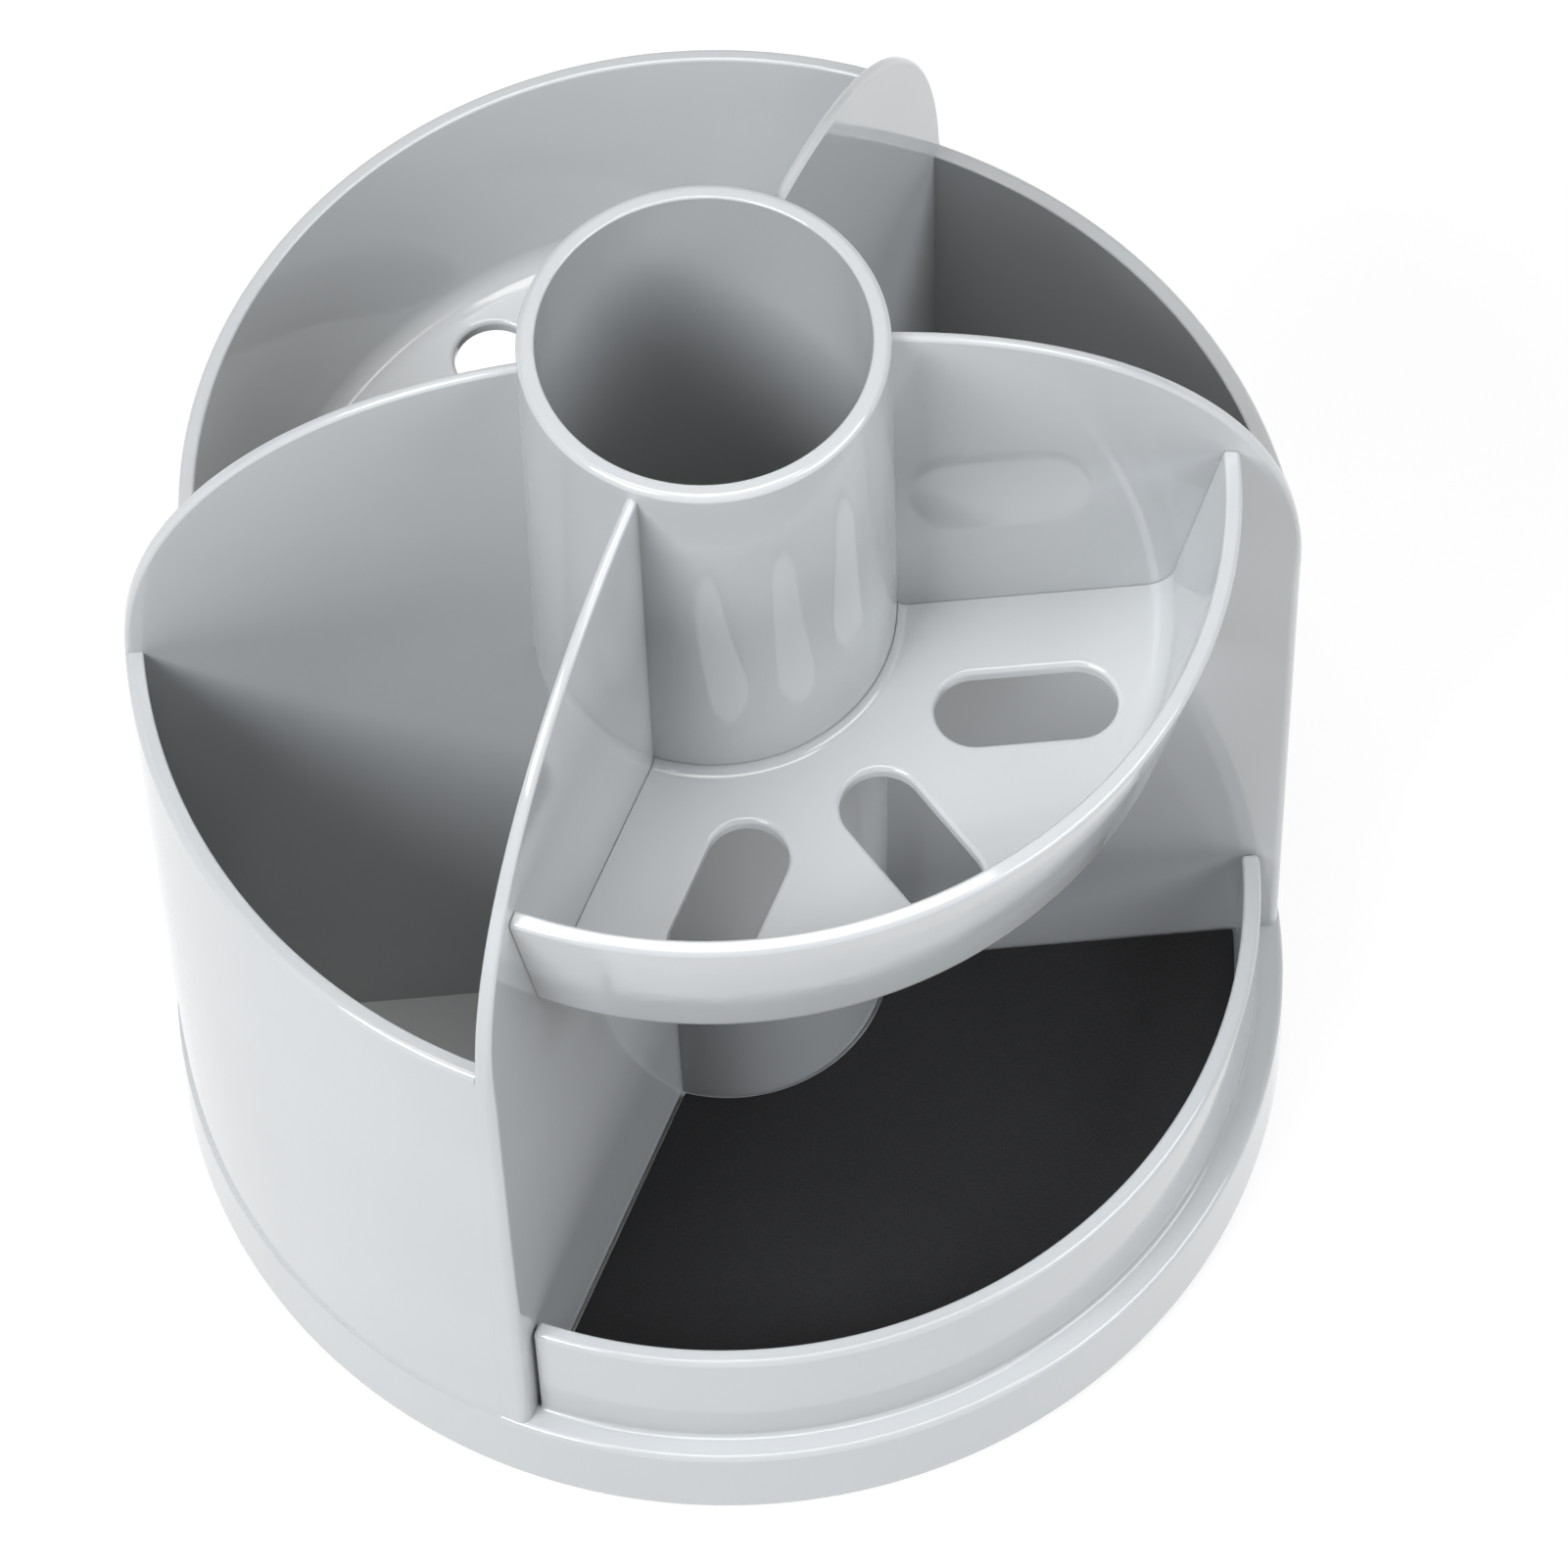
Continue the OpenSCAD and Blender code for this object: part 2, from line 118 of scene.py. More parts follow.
def from_hex(text):
    """Linear red, green and blue from an sRGB hex value, by the curve of the sRGB standard."""
    channels = [int(text[i:i + 2], 16) / 255 for i in (1, 3, 5)]
    return tuple(c / 12.92 if c <= 0.04045 else ((c + 0.055) / 1.055) ** 2.4 for c in channels)


# Each of these functions makes a property of one kind, with its unit

def number(name, description, default, **kind):
    return FloatProperty(name=name, description=description, default=default, **kind)


def length(name, description, metres):
    return number(name, description, metres, unit="LENGTH", subtype="DISTANCE")


def angle(name, description, degrees):
    return number(name, description, math.radians(degrees), unit="ROTATION", subtype="ANGLE")


def watts(name, description, power):
    return number(name, description, power, unit="POWER")


def count(name, description, default):
    return IntProperty(name=name, description=description, default=default)


def colour(name, description, text):
    return FloatVectorProperty(name=name, description=description, default=from_hex(text), subtype="COLOR",
                               min=0, max=1)


class BaseSizes(bpy.types.PropertyGroup):
    radius: length("Radius", "Radius of the skirt at its lower edge", HIGH["base_tray"].x)
    desk_gap: length("Desk gap", "Height of the skirt's lower edge above the desk", 0.002)
    skirt: length("Skirt", "Thickness of the skirt", 0.002)
    lean: length("Lean", "How far the skirt leans in at its top", 0.0002)
    ledge_round: length("Ledge rounding", "Rounding of the ledge's outer edge", 0.0008)
    floor: length("Floor", "Thickness of the floor", 0.0022)
    lip: length("Lip", "Thickness of the low lips in front of the bays", 0.0022)
    ledge: length("Ledge", "Width of the ledge outside the lips", 0.0036)
    lip_gap: length("Lip gap", "Gap between each end of a lip and the divider beside it", 0.0003)
    lip_fillet: length("Lip fillet", "Hollow fillet and end rounding of the lips", 0.0006)
    lip_soft: length("Lip outer rounding", "Rounding of the lips' outer upper edge", 0.0008)
    lip_crisp: length("Lip inner rounding", "Rounding of the lips' inner upper edge", 0.0004)
    rib: length("Rib", "Thickness of the ribs under the floor", 0.0014)
    ribs: count("Ribs", "Number of ribs under the floor", 8)


class TubeSizes(bpy.types.PropertyGroup):
    radius: length("Radius", "Outside radius at the rim", 0.0211)
    wall: length("Wall", "Thickness of the wall", 0.0021)
    taper: length("Taper", "Growth of the radius from the rim down to the upper trays", 0.0004)
    step: length("Step", "Step in of the outside just below the upper trays", 0.0009)
    draw: length("Draw", "Fall of the radius from the step down to the foot", 0.0009)
    rim_soft: length("Rim outer rounding", "Rounding of the rim's outer edge", 0.0009)
    rim_crisp: length("Rim inner rounding", "Rounding of the rim's inner edge", 0.0003)
    floor: length("Floor", "Thickness of the tube's own floor", 0.002)
    inner_round: length("Inner rounding", "Rounding between the wall and the floor inside", 0.0025)
    boss: length("Boss", "Diameter of the screw boss under the tube", 0.008)


class DividerSizes(bpy.types.PropertyGroup):
    spread: angle("Spread", "Angle from the middle of a side compartment to its dividers", 31.4)
    draft: angle("Draft", "Draft of each face", 0.45)
    thickness: length("Thickness", "Thickness at the crown", 0.0013)
    crown_start: length("Crown start", "Radius of the crown curve's top, inside the tube", 0.01)
    crown_dip: length("Crown dip", "Depth of the crown curve's outer end below the side walls' rim", 0.003)
    crown_power: number("Crown power", "Exponent of the crown curve: 2 is an ellipse, more is fuller", 2.14)
    edge: length("Edge", "Rounding of the crown's edges", 0.0006)
    outer_edge: length("Outer edge", "Rounding of the upright edge beside a bay", 0.0012)
    tang: length("Tang", "Thickness of the locating tangs", 0.0018)
    cleat: length("Cleat", "Width of the cleats that carry the trays", 0.0015)


class SideWallSizes(bpy.types.PropertyGroup):
    radius: length("Radius", "Outside radius", 0.0694)
    rim: length("Rim", "Thickness at the rim", 0.0022)
    swell: length("Swell", "Growth of the thickness down to the floor", 0.0006)
    rim_soft: length("Rim outer rounding", "Rounding of the rim's outer edge", 0.0009)
    rim_crisp: length("Rim inner rounding", "Rounding of the rim's inner edge", 0.0003)
    foot_fillet: length("Foot fillet", "Hollow fillet between the wall's foot and the ledge's edge", 0.0006)


class TraySizes(bpy.types.PropertyGroup):
    wall: length("Wall", "Thickness of the floor and the wall", 0.002)
    floor_radius: length("Floor radius", "Inside radius of the wall where it would meet the floor", 0.0536)
    lean: length("Lean", "Outward lean of the wall over its height", 0.0058)
    rim_soft: length("Rim outer rounding", "Rounding of the rim's outer edge", 0.0007)
    rim_crisp: length("Rim inner rounding", "Rounding of the rim's inner edge", 0.0004)
    corner: length("Corner", "Rounding between the floor and the wall", 0.0035)
    gap: length("Gap", "Clearance between a tray and the dividers", 0.00004)
    collar: length("Collar", "Height of the hollow collar round the tube", 0.0012)
    slot_width: length("Slot width", "Width of the slots", 0.0098)
    slot_length: length("Slot length", "Length of the slots", 0.0216)
    slot_radius: length("Slot radius", "Distance of the slots' centres from the axis", 0.0387)
    slot_pitch: angle("Slot pitch", "Angle between neighbouring slots", 34)
    slot_round: length("Slot rounding", "Rounding of the slots' upper edges", 0.0006)


class MatSizes(bpy.types.PropertyGroup):
    gap: length("Gap", "Gap between a mat and the walls round it", 0.0006)
    edge: length("Edge", "Rounding of the cut edge", 0.0002)


class TurntableSizes(bpy.types.PropertyGroup):
    balls: count("Balls", "Number of bearing balls", 12)
    ball: length("Ball", "Diameter of the bearing balls", 0.005)
    ball_radius: length("Ball circle", "Radius of the circle that the balls run on", 0.037)
    ball_height: length("Ball height", "Height of the balls' centres above the desk", 0.00845)
    groove: length("Groove", "Radius of the ball grooves", 0.00275)
    race: length("Race", "Half the width of a race", 0.00405)
    bore: length("Bore", "Radius of the foot plate's bore", 0.0071)
    spigot: length("Spigot", "Radius of the spigot that the foot plate turns on", 0.00705)
    web: length("Web", "Thickness of the foot plate's web", 0.0018)
    web_height: length("Web height", "Height of the web's underside above the desk", 0.0036)
    feet: count("Feet", "Number of rubber feet", 4)
    foot: length("Foot", "Diameter of the rubber feet", 0.012)
    foot_radius: length("Foot circle", "Distance of the feet from the axis", 0.045)
    screw: length("Screw", "Diameter of the pivot screw's shank", 0.003)
    head: length("Head", "Diameter of the pivot screw's head", 0.007)


class Colours(bpy.types.PropertyGroup):
    shell: colour("Shell", "Light grey polished plastic", "#BEC0C1")
    turntable: colour("Turntable", "Natural white plastic", "#E4E3DF")
    foam: colour("Foam", "Black foam of the mats", "#212122")
    rubber: colour("Rubber", "Black rubber of the feet", "#29292B")
    bearing: colour("Bearing steel", "Polished steel of the balls", "#D8D8DA")
    zinc: colour("Zinc", "Zinc plating of the screw and washer", "#C9CCD0")
    floor: colour("Floor", "The pale floor the pen holder stands on", "#808080")
    sky: colour("Sky", "Light from all round", "#F8F8F8")
    lamp: colour("Lamps", "Cool light of the lamps at the sides", "#F8FBFF")
    overhead: colour("Overhead", "Neutral light from overhead", "#FFFDFB")


class StageSettings(bpy.types.PropertyGroup):
    bearing: angle("Bearing", "Direction from the axis to the camera, from the -Y axis towards +X", -34.14)
    elevation: angle("Elevation", "Elevation of the camera's place above the desk", 61.77)
    distance: length("Distance", "Distance from the camera to the centre of the underside", 1.126)
    pan: angle("Pan", "Turn of the view away from the axis", 0.81)
    tilt: angle("Tilt", "Angle of the view below the horizon", 60.28)
    roll: angle("Roll", "Roll of the camera", 1.71)
    lens: number("Lens", "Focal length in millimetres on a 36 mm sensor", 202.4)
    floor_size: length("Floor size", "Side of the pale floor", 6.0)
    floor_glow: number("Floor glow", "Light that the over-exposed white floor sends out", 0.8)
    sky_glow: number("Sky glow", "Strength of the light from all round", 0.04)
    light_distance: length("Light distance", "Distance of the lights from the pen holder", 1.5)
    key_bearing: angle("Key bearing", "Direction of the light on the camera's left, from +X", -172)
    key_elevation: angle("Key elevation", "Elevation of the key light", 44)
    key_size: length("Key size", "Side of the square key light", 0.7)
    key_power: watts("Key power", "Power of the key light", 21.0)
    fill_bearing: angle("Fill bearing", "Direction of the light on the camera's right, from +X", -54)
    fill_elevation: angle("Fill elevation", "Elevation of the fill light", 38)
    fill_size: length("Fill size", "Side of the square fill light", 0.9)
    fill_power: watts("Fill power", "Power of the fill light", 14.0)
    top_size: length("Top size", "Side of the square light overhead", 0.8)
    top_power: watts("Top power", "Power of the light overhead", 11.7)


def settings(name):
    """The settings of one group, as they stand."""
    return getattr(bpy.context.scene, "pen_holder_" + name)


# Outlines and sections

def arc(x, y, radius, start, end, steps=8):
    """Points on an arc in the plane of a section, between two angles in degrees."""
    turns = [math.radians(start + (end - start) * i / steps) for i in range(steps + 1)]
    return [(x + radius * math.cos(a), y + radius * math.sin(a)) for a in turns]


def rounding(r, z, radius, start, end, steps=4):
    """An arc in place of the sharp corner at (r, z) of a section, between two angles in degrees."""
    middle = math.radians((start + end) / 2)
    x, y = r - math.copysign(radius, math.cos(middle)), z - math.copysign(radius, math.sin(middle))
    return arc(x, y, radius, start, end, steps)


def flat_rim(outer, inner, top, soft, crisp):
    """Section of a rim from its outer to its inner face: flat, with a soft outer and a crisp inner edge."""
    return rounding(outer, top, soft, 0, 90, 8) + rounding(inner, top, crisp, 90, 180, 8)


def circle(radius, steps, x=0):
    """Points evenly spaced on a circle round (x, 0)."""
    turns = [math.tau * i / steps for i in range(steps)]
    return [(x + radius * math.cos(a), radius * math.sin(a)) for a in turns]


def stadium(centre, turn, run, radius, steps=20):
    """Outline of a slot with round ends."""
    outline = arc(run / 2, 0, radius, -90, 90, steps) + arc(-run / 2, 0, radius, 90, 270, steps)
    spin = Matrix.Rotation(turn, 2)
    return [tuple(spin @ Vector(p) + Vector(centre)) for p in outline]


def inset(loop, depth):
    """The points of a closed loop moved `depth` to its inner side."""
    area = sum(a[0] * b[1] - b[0] * a[1] for a, b in zip(loop, loop[1:] + loop[:1]))
    side = math.copysign(1, area)
    moved = []
    for before, at, after in zip(loop[-1:] + loop[:-1], loop, loop[1:] + loop[:1]):
        first = (Vector(at) - Vector(before)).normalized()
        second = (Vector(after) - Vector(at)).normalized()
        inward = Vector((-first.y - second.y, first.x + second.x)) * side
        moved.append(tuple(Vector(at) + inward * depth / (1 + first.dot(second))))
    return moved


def holds(loop, point):
    """Whether a flat loop encloses a point."""
    within = False
    for (x0, y0), (x1, y1) in zip(loop[-1:] + loop[:-1], loop):
        if (y0 > point[1]) != (y1 > point[1]) and point[0] < x0 + (point[1] - y0) * (x1 - x0) / (y1 - y0):
            within = not within
    return within


def ramp(value, start, end):
    """How far a value has come from start to end, from 0 to 1."""
    return min(max((value - start) / (end - start), 0), 1)


# Meshes

def new_object(name, data):
    """An object that is added to the scene."""
    made = bpy.data.objects.new(name, data)
    bpy.context.scene.collection.objects.link(made)
    return made


class Shape:
    """Points and faces gathered for one mesh."""

    def __init__(self):
        self.points = []
        self.faces = []

    def add(self, points):
        start = len(self.points)
        self.points += [Vector(p) for p in points]
        return list(range(start, len(self.points)))

    def grid(self, rows, closed_rows=False, closed_columns=False):
        """Faces between rows of equally many points. A closed row ends where it starts."""
        numbers = [self.add(row) for row in rows]
        pairs = list(zip(numbers, numbers[1:])) + ([(numbers[-1], numbers[0])] if closed_columns else [])
        points = len(numbers[0])
        for one, other in pairs:
            for i in range(points if closed_rows else points - 1):
                j = (i + 1) % points
                self.faces.append((one[i], one[j], other[j], other[i]))

    def cap(self, loop):
        self.faces.append(tuple(self.add(loop)))

    def upright(self, loop, low, high, closed=True):
        """An upright wall along a flat loop."""
        self.grid([[(x, y, z) for x, y in loop] for z in (low, high)], closed_rows=closed)

    def lathe(self, section, steps=192, closed=True):
        """Turns a section of (radius, height) points round the axis."""
        rows = [[(x, y, z) for x, y in circle(r, steps)] for r, z in section]
        self.grid(rows, closed_rows=True, closed_columns=closed)

    def sheet(self, outer, holes, height, spacing=0.003):
        """A flat face at one height with holes in it, filled with triangles of an even size."""
        loops = [[(x * MM, y * MM) for x, y in loop] for loop in (outer, *holes)]
        flat = [p for loop in loops for p in loop]
        edges = []
        for loop in loops:
            start = len(edges)
            edges += [(start + i, start + (i + 1) % len(loop)) for i in range(len(loop))]

        def filled(p):
            return holds(loops[0], p) and not any(holds(hole, p) for hole in loops[1:])

        # Points inside stand in staggered rows that start a part of a step within the box, and none comes
        # closer to an outline than `clearance` steps
        start_x, start_y, stagger, clearance = 0.3, 0.4, 0.5, 0.6
        step = spacing * MM
        xs, ys = [p[0] for p in flat], [p[1] for p in flat]
        inner = []
        for i in range(int((max(xs) - min(xs)) / step) + 1):
            for j in range(int((max(ys) - min(ys)) / step) + 1):
                p = (min(xs) + (i + stagger * (j % 2) + start_x) * step, min(ys) + (j + start_y) * step)
                if min(math.dist(p, q) for q in flat) > clearance * step and filled(p):
                    inner.append(p)
        points, _, faces, *_ = delaunay_2d_cdt([Vector(p) for p in flat + inner], edges, [], 1, WELD)
        numbers = self.add([(p.x / MM, p.y / MM, height) for p in points])
        for face in faces:
            if filled(sum((points[i] for i in face), Vector((0, 0))) / len(face)):
                self.faces.append(tuple(numbers[i] for i in face))

    def block(self, low, high, chamfer):
        """A box with chamfered edges."""
        bm = bmesh.new()
        for ends in itertools.product((0, 1), repeat=3):
            corner = Vector([(low, high)[end][axis] for axis, end in enumerate(ends)])
            inward = Vector([1 - 2 * end for end in ends]) * chamfer
            for axis in range(3):
                point = corner + inward
                point[axis] = corner[axis]
                bm.verts.new(point)
        bmesh.ops.convex_hull(bm, input=bm.verts)
        numbers = {v: i for v, i in zip(bm.verts, self.add([v.co for v in bm.verts]))}
        for face in bm.faces:
            self.faces.append(tuple(numbers[v] for v in face.verts))
        bm.free()

    def build(self, name, slot):
        """A mesh object of the gathered faces: welded, facing outwards, smooth between its sharp edges."""
        mesh = bpy.data.meshes.new(name)
        mesh.from_pydata(self.points, [], self.faces)
        bm = bmesh.new()
        bm.from_mesh(mesh)
        bmesh.ops.remove_doubles(bm, verts=bm.verts, dist=WELD)
        bmesh.ops.dissolve_degenerate(bm, edges=bm.edges, dist=WELD)
        bmesh.ops.recalc_face_normals(bm, faces=bm.faces)
        for face in bm.faces:
            face.smooth = True
        for edge in bm.edges:
            edge.smooth = len(edge.link_faces) == 2 and edge.calc_face_angle(0) < SHARP
        bm.to_mesh(mesh)
        bm.free()
        mesh.materials.append(paint(slot))
        piece = new_object(name, mesh)
        even = piece.modifiers.new("Even shading", "WEIGHTED_NORMAL")
        even.keep_sharp = True
        even.weight = FACE_WEIGHT
        return piece


def settle(piece, body, slot, *nodes):
    """Ties a finished piece to its body, and hides the CAD nodes that it stands for. The slot is not used.
    """
    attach(piece, body)
    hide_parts(*nodes)
    return piece


def finish(shape, body, slot, node):
    """Builds a shape as the piece that stands for a CAD node."""
    return settle(shape.build(node.capitalize(), slot), body, slot, node)


def join(piece, other):
    """Adds the faces of a second object to a piece, and removes that object."""
    joined = bmesh.new()
    joined.from_mesh(piece.data)
    joined.from_mesh(other.data)
    joined.to_mesh(piece.data)
    joined.free()
    bpy.data.objects.remove(other)


def round_copies(shape, name, slot, copies, radius, first):
    """Copies of a small shape spaced evenly on a circle, made by a node tree and left as one plain mesh."""
    source = shape.build(name + "_source", slot)
    modifier = source.modifiers.new("Copies", "NODES")
    modifier.node_group = bpy.data.node_groups.get("Copies On A Circle") or copies_tree()
    values = {"Count": copies, "Radius": radius, "First Angle": first, "Material": paint(slot)}
    for socket in modifier.node_group.interface.items_tree:
        if socket.item_type == "SOCKET" and socket.in_out == "INPUT" and socket.name in values:
            modifier[socket.identifier] = values[socket.name]
    bpy.context.view_layer.update()
    mesh = bpy.data.meshes.new_from_object(source.evaluated_get(bpy.context.evaluated_depsgraph_get()))
    mesh.name = name
    bpy.data.objects.remove(source)
    return new_object(name, mesh)


def add_node(tree, kind, inputs=None, **properties):
    """Adds a node with its properties, and with a value or a link for each named input."""
    made = tree.nodes.new(kind)
    for name, value in properties.items():
        setattr(made, name, value)
    for name, value in (inputs or {}).items():
        if isinstance(value, bpy.types.NodeSocket):
            tree.links.new(value, made.inputs[name])
        else:
            made.inputs[name].default_value = value
    return made


def copies_tree():
    """Node tree: instances of its geometry on a circle, realised and welded, with one material."""
    tree = bpy.data.node_groups.new("Copies On A Circle", "GeometryNodeTree")
    sockets = {"Geometry": "Geometry", "Count": "Int", "Radius": "Float", "First Angle": "Float",
               "Material": "Material"}
    for name, kind in sockets.items():
        tree.interface.new_socket(name, in_out="INPUT", socket_type="NodeSocket" + kind)
    tree.interface.new_socket("Geometry", in_out="OUTPUT", socket_type="NodeSocketGeometry")
    given = add_node(tree, "NodeGroupInput").outputs
    ring = add_node(tree, "GeometryNodeMeshCircle", {"Vertices": given["Count"], "Radius": given["Radius"]})
    step = add_node(tree, "ShaderNodeMath", {0: math.tau, 1: given["Count"]}, operation="DIVIDE")
    index = add_node(tree, "GeometryNodeInputIndex")
    turn = add_node(tree, "ShaderNodeMath", {0: index.outputs[0], 1: step.outputs[0]}, operation="MULTIPLY")
    turned = add_node(tree, "ShaderNodeCombineXYZ", {"Z": turn.outputs[0]})
    copies = add_node(tree, "GeometryNodeInstanceOnPoints", {
        "Points": ring.outputs[0], "Instance": given["Geometry"], "Rotation": turned.outputs[0]})
    real = add_node(tree, "GeometryNodeRealizeInstances", {"Geometry": copies.outputs[0]})
    first = add_node(tree, "ShaderNodeCombineXYZ", {"Z": given["First Angle"]})
    spun = add_node(tree, "GeometryNodeTransform", {
        "Geometry": real.outputs[0], "Rotation": first.outputs[0]})
    welded = add_node(tree, "GeometryNodeMergeByDistance", {"Geometry": spun.outputs[0], "Distance": WELD})
    painted = add_node(tree, "GeometryNodeSetMaterial", {
        "Geometry": welded.outputs[0], "Material": given["Material"]})
    add_node(tree, "NodeGroupOutput", {0: painted.outputs[0]})
    return tree


# Measures that pieces share

def divider_half(z):
    """Half the thickness of a divider at a height."""
    sizes, crown = settings("dividers"), HIGH["divider_front_left"].z
    return sizes.thickness / 2 + math.tan(sizes.draft) * (crown - z)


def tube_radius(z):
    """Outside radius of the tube: it widens down to its shoulder, steps in, and narrows to its foot."""
    sizes, high = settings("tube"), HIGH["pen_tube"].z
    if z >= SHOULDER_Z:
        return sizes.radius + sizes.taper * (high - z) / (high - SHOULDER_Z)
    neck = SHOULDER_Z - sizes.step
    below = max((neck - z) / (neck - FLOOR_Z), 0)
    return sizes.radius + sizes.taper - sizes.step + max(z - neck, 0) - sizes.draw * below


def race(sizes, face_z):
    """Section of a ball race from its outer to its inner edge, with its face at a height."""
    way = math.copysign(1, face_z - sizes.ball_height)
    reach = math.degrees(math.acos(abs(face_z - sizes.ball_height) / sizes.groove))
    section = rounding(sizes.ball_radius + sizes.race, face_z, FINE, 0, -90 * way)
    start, end = way * (90 - reach), way * (90 + reach)
    section += arc(sizes.ball_radius, sizes.ball_height, sizes.groove, start, end, 16)
    return section + rounding(sizes.ball_radius - sizes.race, face_z, FINE, -90 * way, -180 * way)


def sector_ends(section, spread, gap, edge, steps):
    """Rows of (radius, height, turn) round the axis for each point of a closed section, from one upright
    end to the other. Both ends stay `gap` clear of the dividers, and `edge` rounds their edges."""
    rings = []
    for a in END_TURNS:
        depth, back = edge * (1 - math.cos(math.radians(a))), edge * (1 - math.sin(math.radians(a)))
        loop = inset(section, depth) if depth else section
        rings.append([(r, z, spread - math.asin((divider_half(z) + gap + back) / r)) for r, z in loop])
    rows = []
    for points in zip(*rings):
        r, z, full = points[-1]
        middle = [(r, z, full * (1 - 2 * i / steps)) for i in range(1, steps)]
        rows.append(list(points) + middle + [(r, z, -a) for r, z, a in reversed(points)])
    return rows


def placed(row, turn):
    """A row of (radius, height, turn) points in space, turned about the axis."""
    return [(r * math.cos(turn + a), r * math.sin(turn + a), z) for r, z, a in row]


def sector(shape, section, turn, spread, gap, edge, steps=96):
    """Sweeps a closed section round the axis between two dividers."""
    rows = [placed(row, turn) for row in sector_ends(section, spread, gap, edge, steps)]
    shape.grid(rows, closed_columns=True)
    shape.cap([row[0] for row in rows])
    shape.cap([row[-1] for row in rows])


# Materials

def material(name, shade, roughness, **constants):
    """A new material whose shader has these constants, with its tree, its shader and Object coordinates."""
    made = bpy.data.materials.new(name)
    made.use_nodes = True
    tree = made.node_tree
    tree.nodes.clear()
    constants = {"Base Color": (*shade, 1), "Roughness": roughness, **constants}
    shader = add_node(tree, "ShaderNodeBsdfPrincipled", constants)
    add_node(tree, "ShaderNodeOutputMaterial", {"Surface": shader.outputs[0]})
    place = add_node(tree, "ShaderNodeTexCoord").outputs["Object"]
    return made, tree, shader, place


def mottled(tree, place, shade, patch, low, high, begin=0.35, end=0.65):
    """A shade that drifts between two strengths over patches of one size in metres. The noise takes it from
    the one to the other between `begin` and `end`."""
    noise = add_node(tree, "ShaderNodeTexNoise", {"Vector": place, "Scale": 1 / patch, "Detail": 2.0})
    stops = add_node(tree, "ShaderNodeValToRGB", {"Fac": noise.outputs["Fac"]})
    for stop, position, strength in zip(stops.color_ramp.elements, (begin, end), (low, high)):
        stop.position = position
        stop.color = (*[c * strength for c in shade], 1)
    return stops.outputs["Color"]


def polished_abs(name):
    """Polished ABS, injection moulded: even colour, mirror-like gloss with a faint orange peel from the
    mould's polish, and a little less gloss where hands rub it."""
    shade = settings("colours").shell
    made, tree, shader, place = material(name, shade, roughness=0.07, IOR=1.56)
    colour_drift = mottled(tree, place, shade, patch=0.03, low=0.985, high=1.015)
    tree.links.new(colour_drift, shader.inputs["Base Color"])
    # Rubbed places are about 12 mm across
    rubbed = 0.012
    rub = add_node(tree, "ShaderNodeTexNoise", {"Vector": place, "Scale": 1 / rubbed, "Detail": 3.0})
    gloss = add_node(tree, "ShaderNodeMapRange", {
        "Value": rub.outputs["Fac"], "From Min": 0.3, "From Max": 0.7, "To Min": 0.05, "To Max": 0.09})
    tree.links.new(gloss.outputs[0], shader.inputs["Roughness"])
    # Orange peel has waves about 2.5 mm across
    wave = 0.0025
    peel = add_node(tree, "ShaderNodeTexNoise", {"Vector": place, "Scale": 1 / wave, "Detail": 1.0})
    bump = add_node(tree, "ShaderNodeBump", {
        "Height": peel.outputs["Fac"], "Strength": 0.015, "Distance": 0.0005})
    tree.links.new(bump.outputs[0], shader.inputs["Normal"])
    return made


def natural_acetal(name):
    """Natural acetal, moulded against a fine spark-eroded texture: milky white with a satin sheen."""
    shade = settings("colours").turntable
    made, tree, shader, place = material(name, shade, roughness=0.42, IOR=1.48)
    colour_drift = mottled(tree, place, shade, patch=0.02, low=0.98, high=1.0)
    tree.links.new(colour_drift, shader.inputs["Base Color"])
    # Spark-eroded grain is about 0.25 mm across
    spark = 0.00025
    grain = add_node(tree, "ShaderNodeTexNoise", {"Vector": place, "Scale": 1 / spark, "Detail": 2.0})
    bump = add_node(tree, "ShaderNodeBump", {
        "Height": grain.outputs["Fac"], "Strength": 0.15, "Distance": 0.00005})
    tree.links.new(bump.outputs[0], shader.inputs["Normal"])
    return made


def eva_foam(name):
    """EVA foam sheet with its cells cut open: nearly black, with little gloss, finely pitted, and painted
    shade darkening the pits.
    """
    shade = settings("colours").foam
    made, tree, shader, place = material(name, shade, roughness=0.8, IOR=1.45, **{"Specular IOR Level": 0.3})
    # Cells are 0.2 to 0.4 mm across
    cell = 0.0004
    cells = add_node(tree, "ShaderNodeTexVoronoi", {"Vector": place, "Scale": 1 / cell}, feature="F1")
    # Painted shade: the colour darkens towards each cell's pit, where the bump sinks, and lightens on the
    # walls between
    pit_shade = add_node(tree, "ShaderNodeMapRange", {
        "Value": cells.outputs["Distance"], "From Max": 0.6, "To Min": 0.75, "To Max": 1.1})
    colour_drift = mottled(tree, place, shade, patch=0.006, low=0.97, high=1.03)
    # The foam's random tone drift, times the painted shade of the pits
    values = {0: colour_drift, 1: pit_shade.outputs[0]}
    tint = add_node(tree, "ShaderNodeVectorMath", values, operation="MULTIPLY")
    tree.links.new(tint.outputs[0], shader.inputs["Base Color"])
    bump = add_node(tree, "ShaderNodeBump", {
        "Height": cells.outputs["Distance"], "Strength": 0.35, "Distance": 0.0001})
    tree.links.new(bump.outputs[0], shader.inputs["Normal"])
    return made


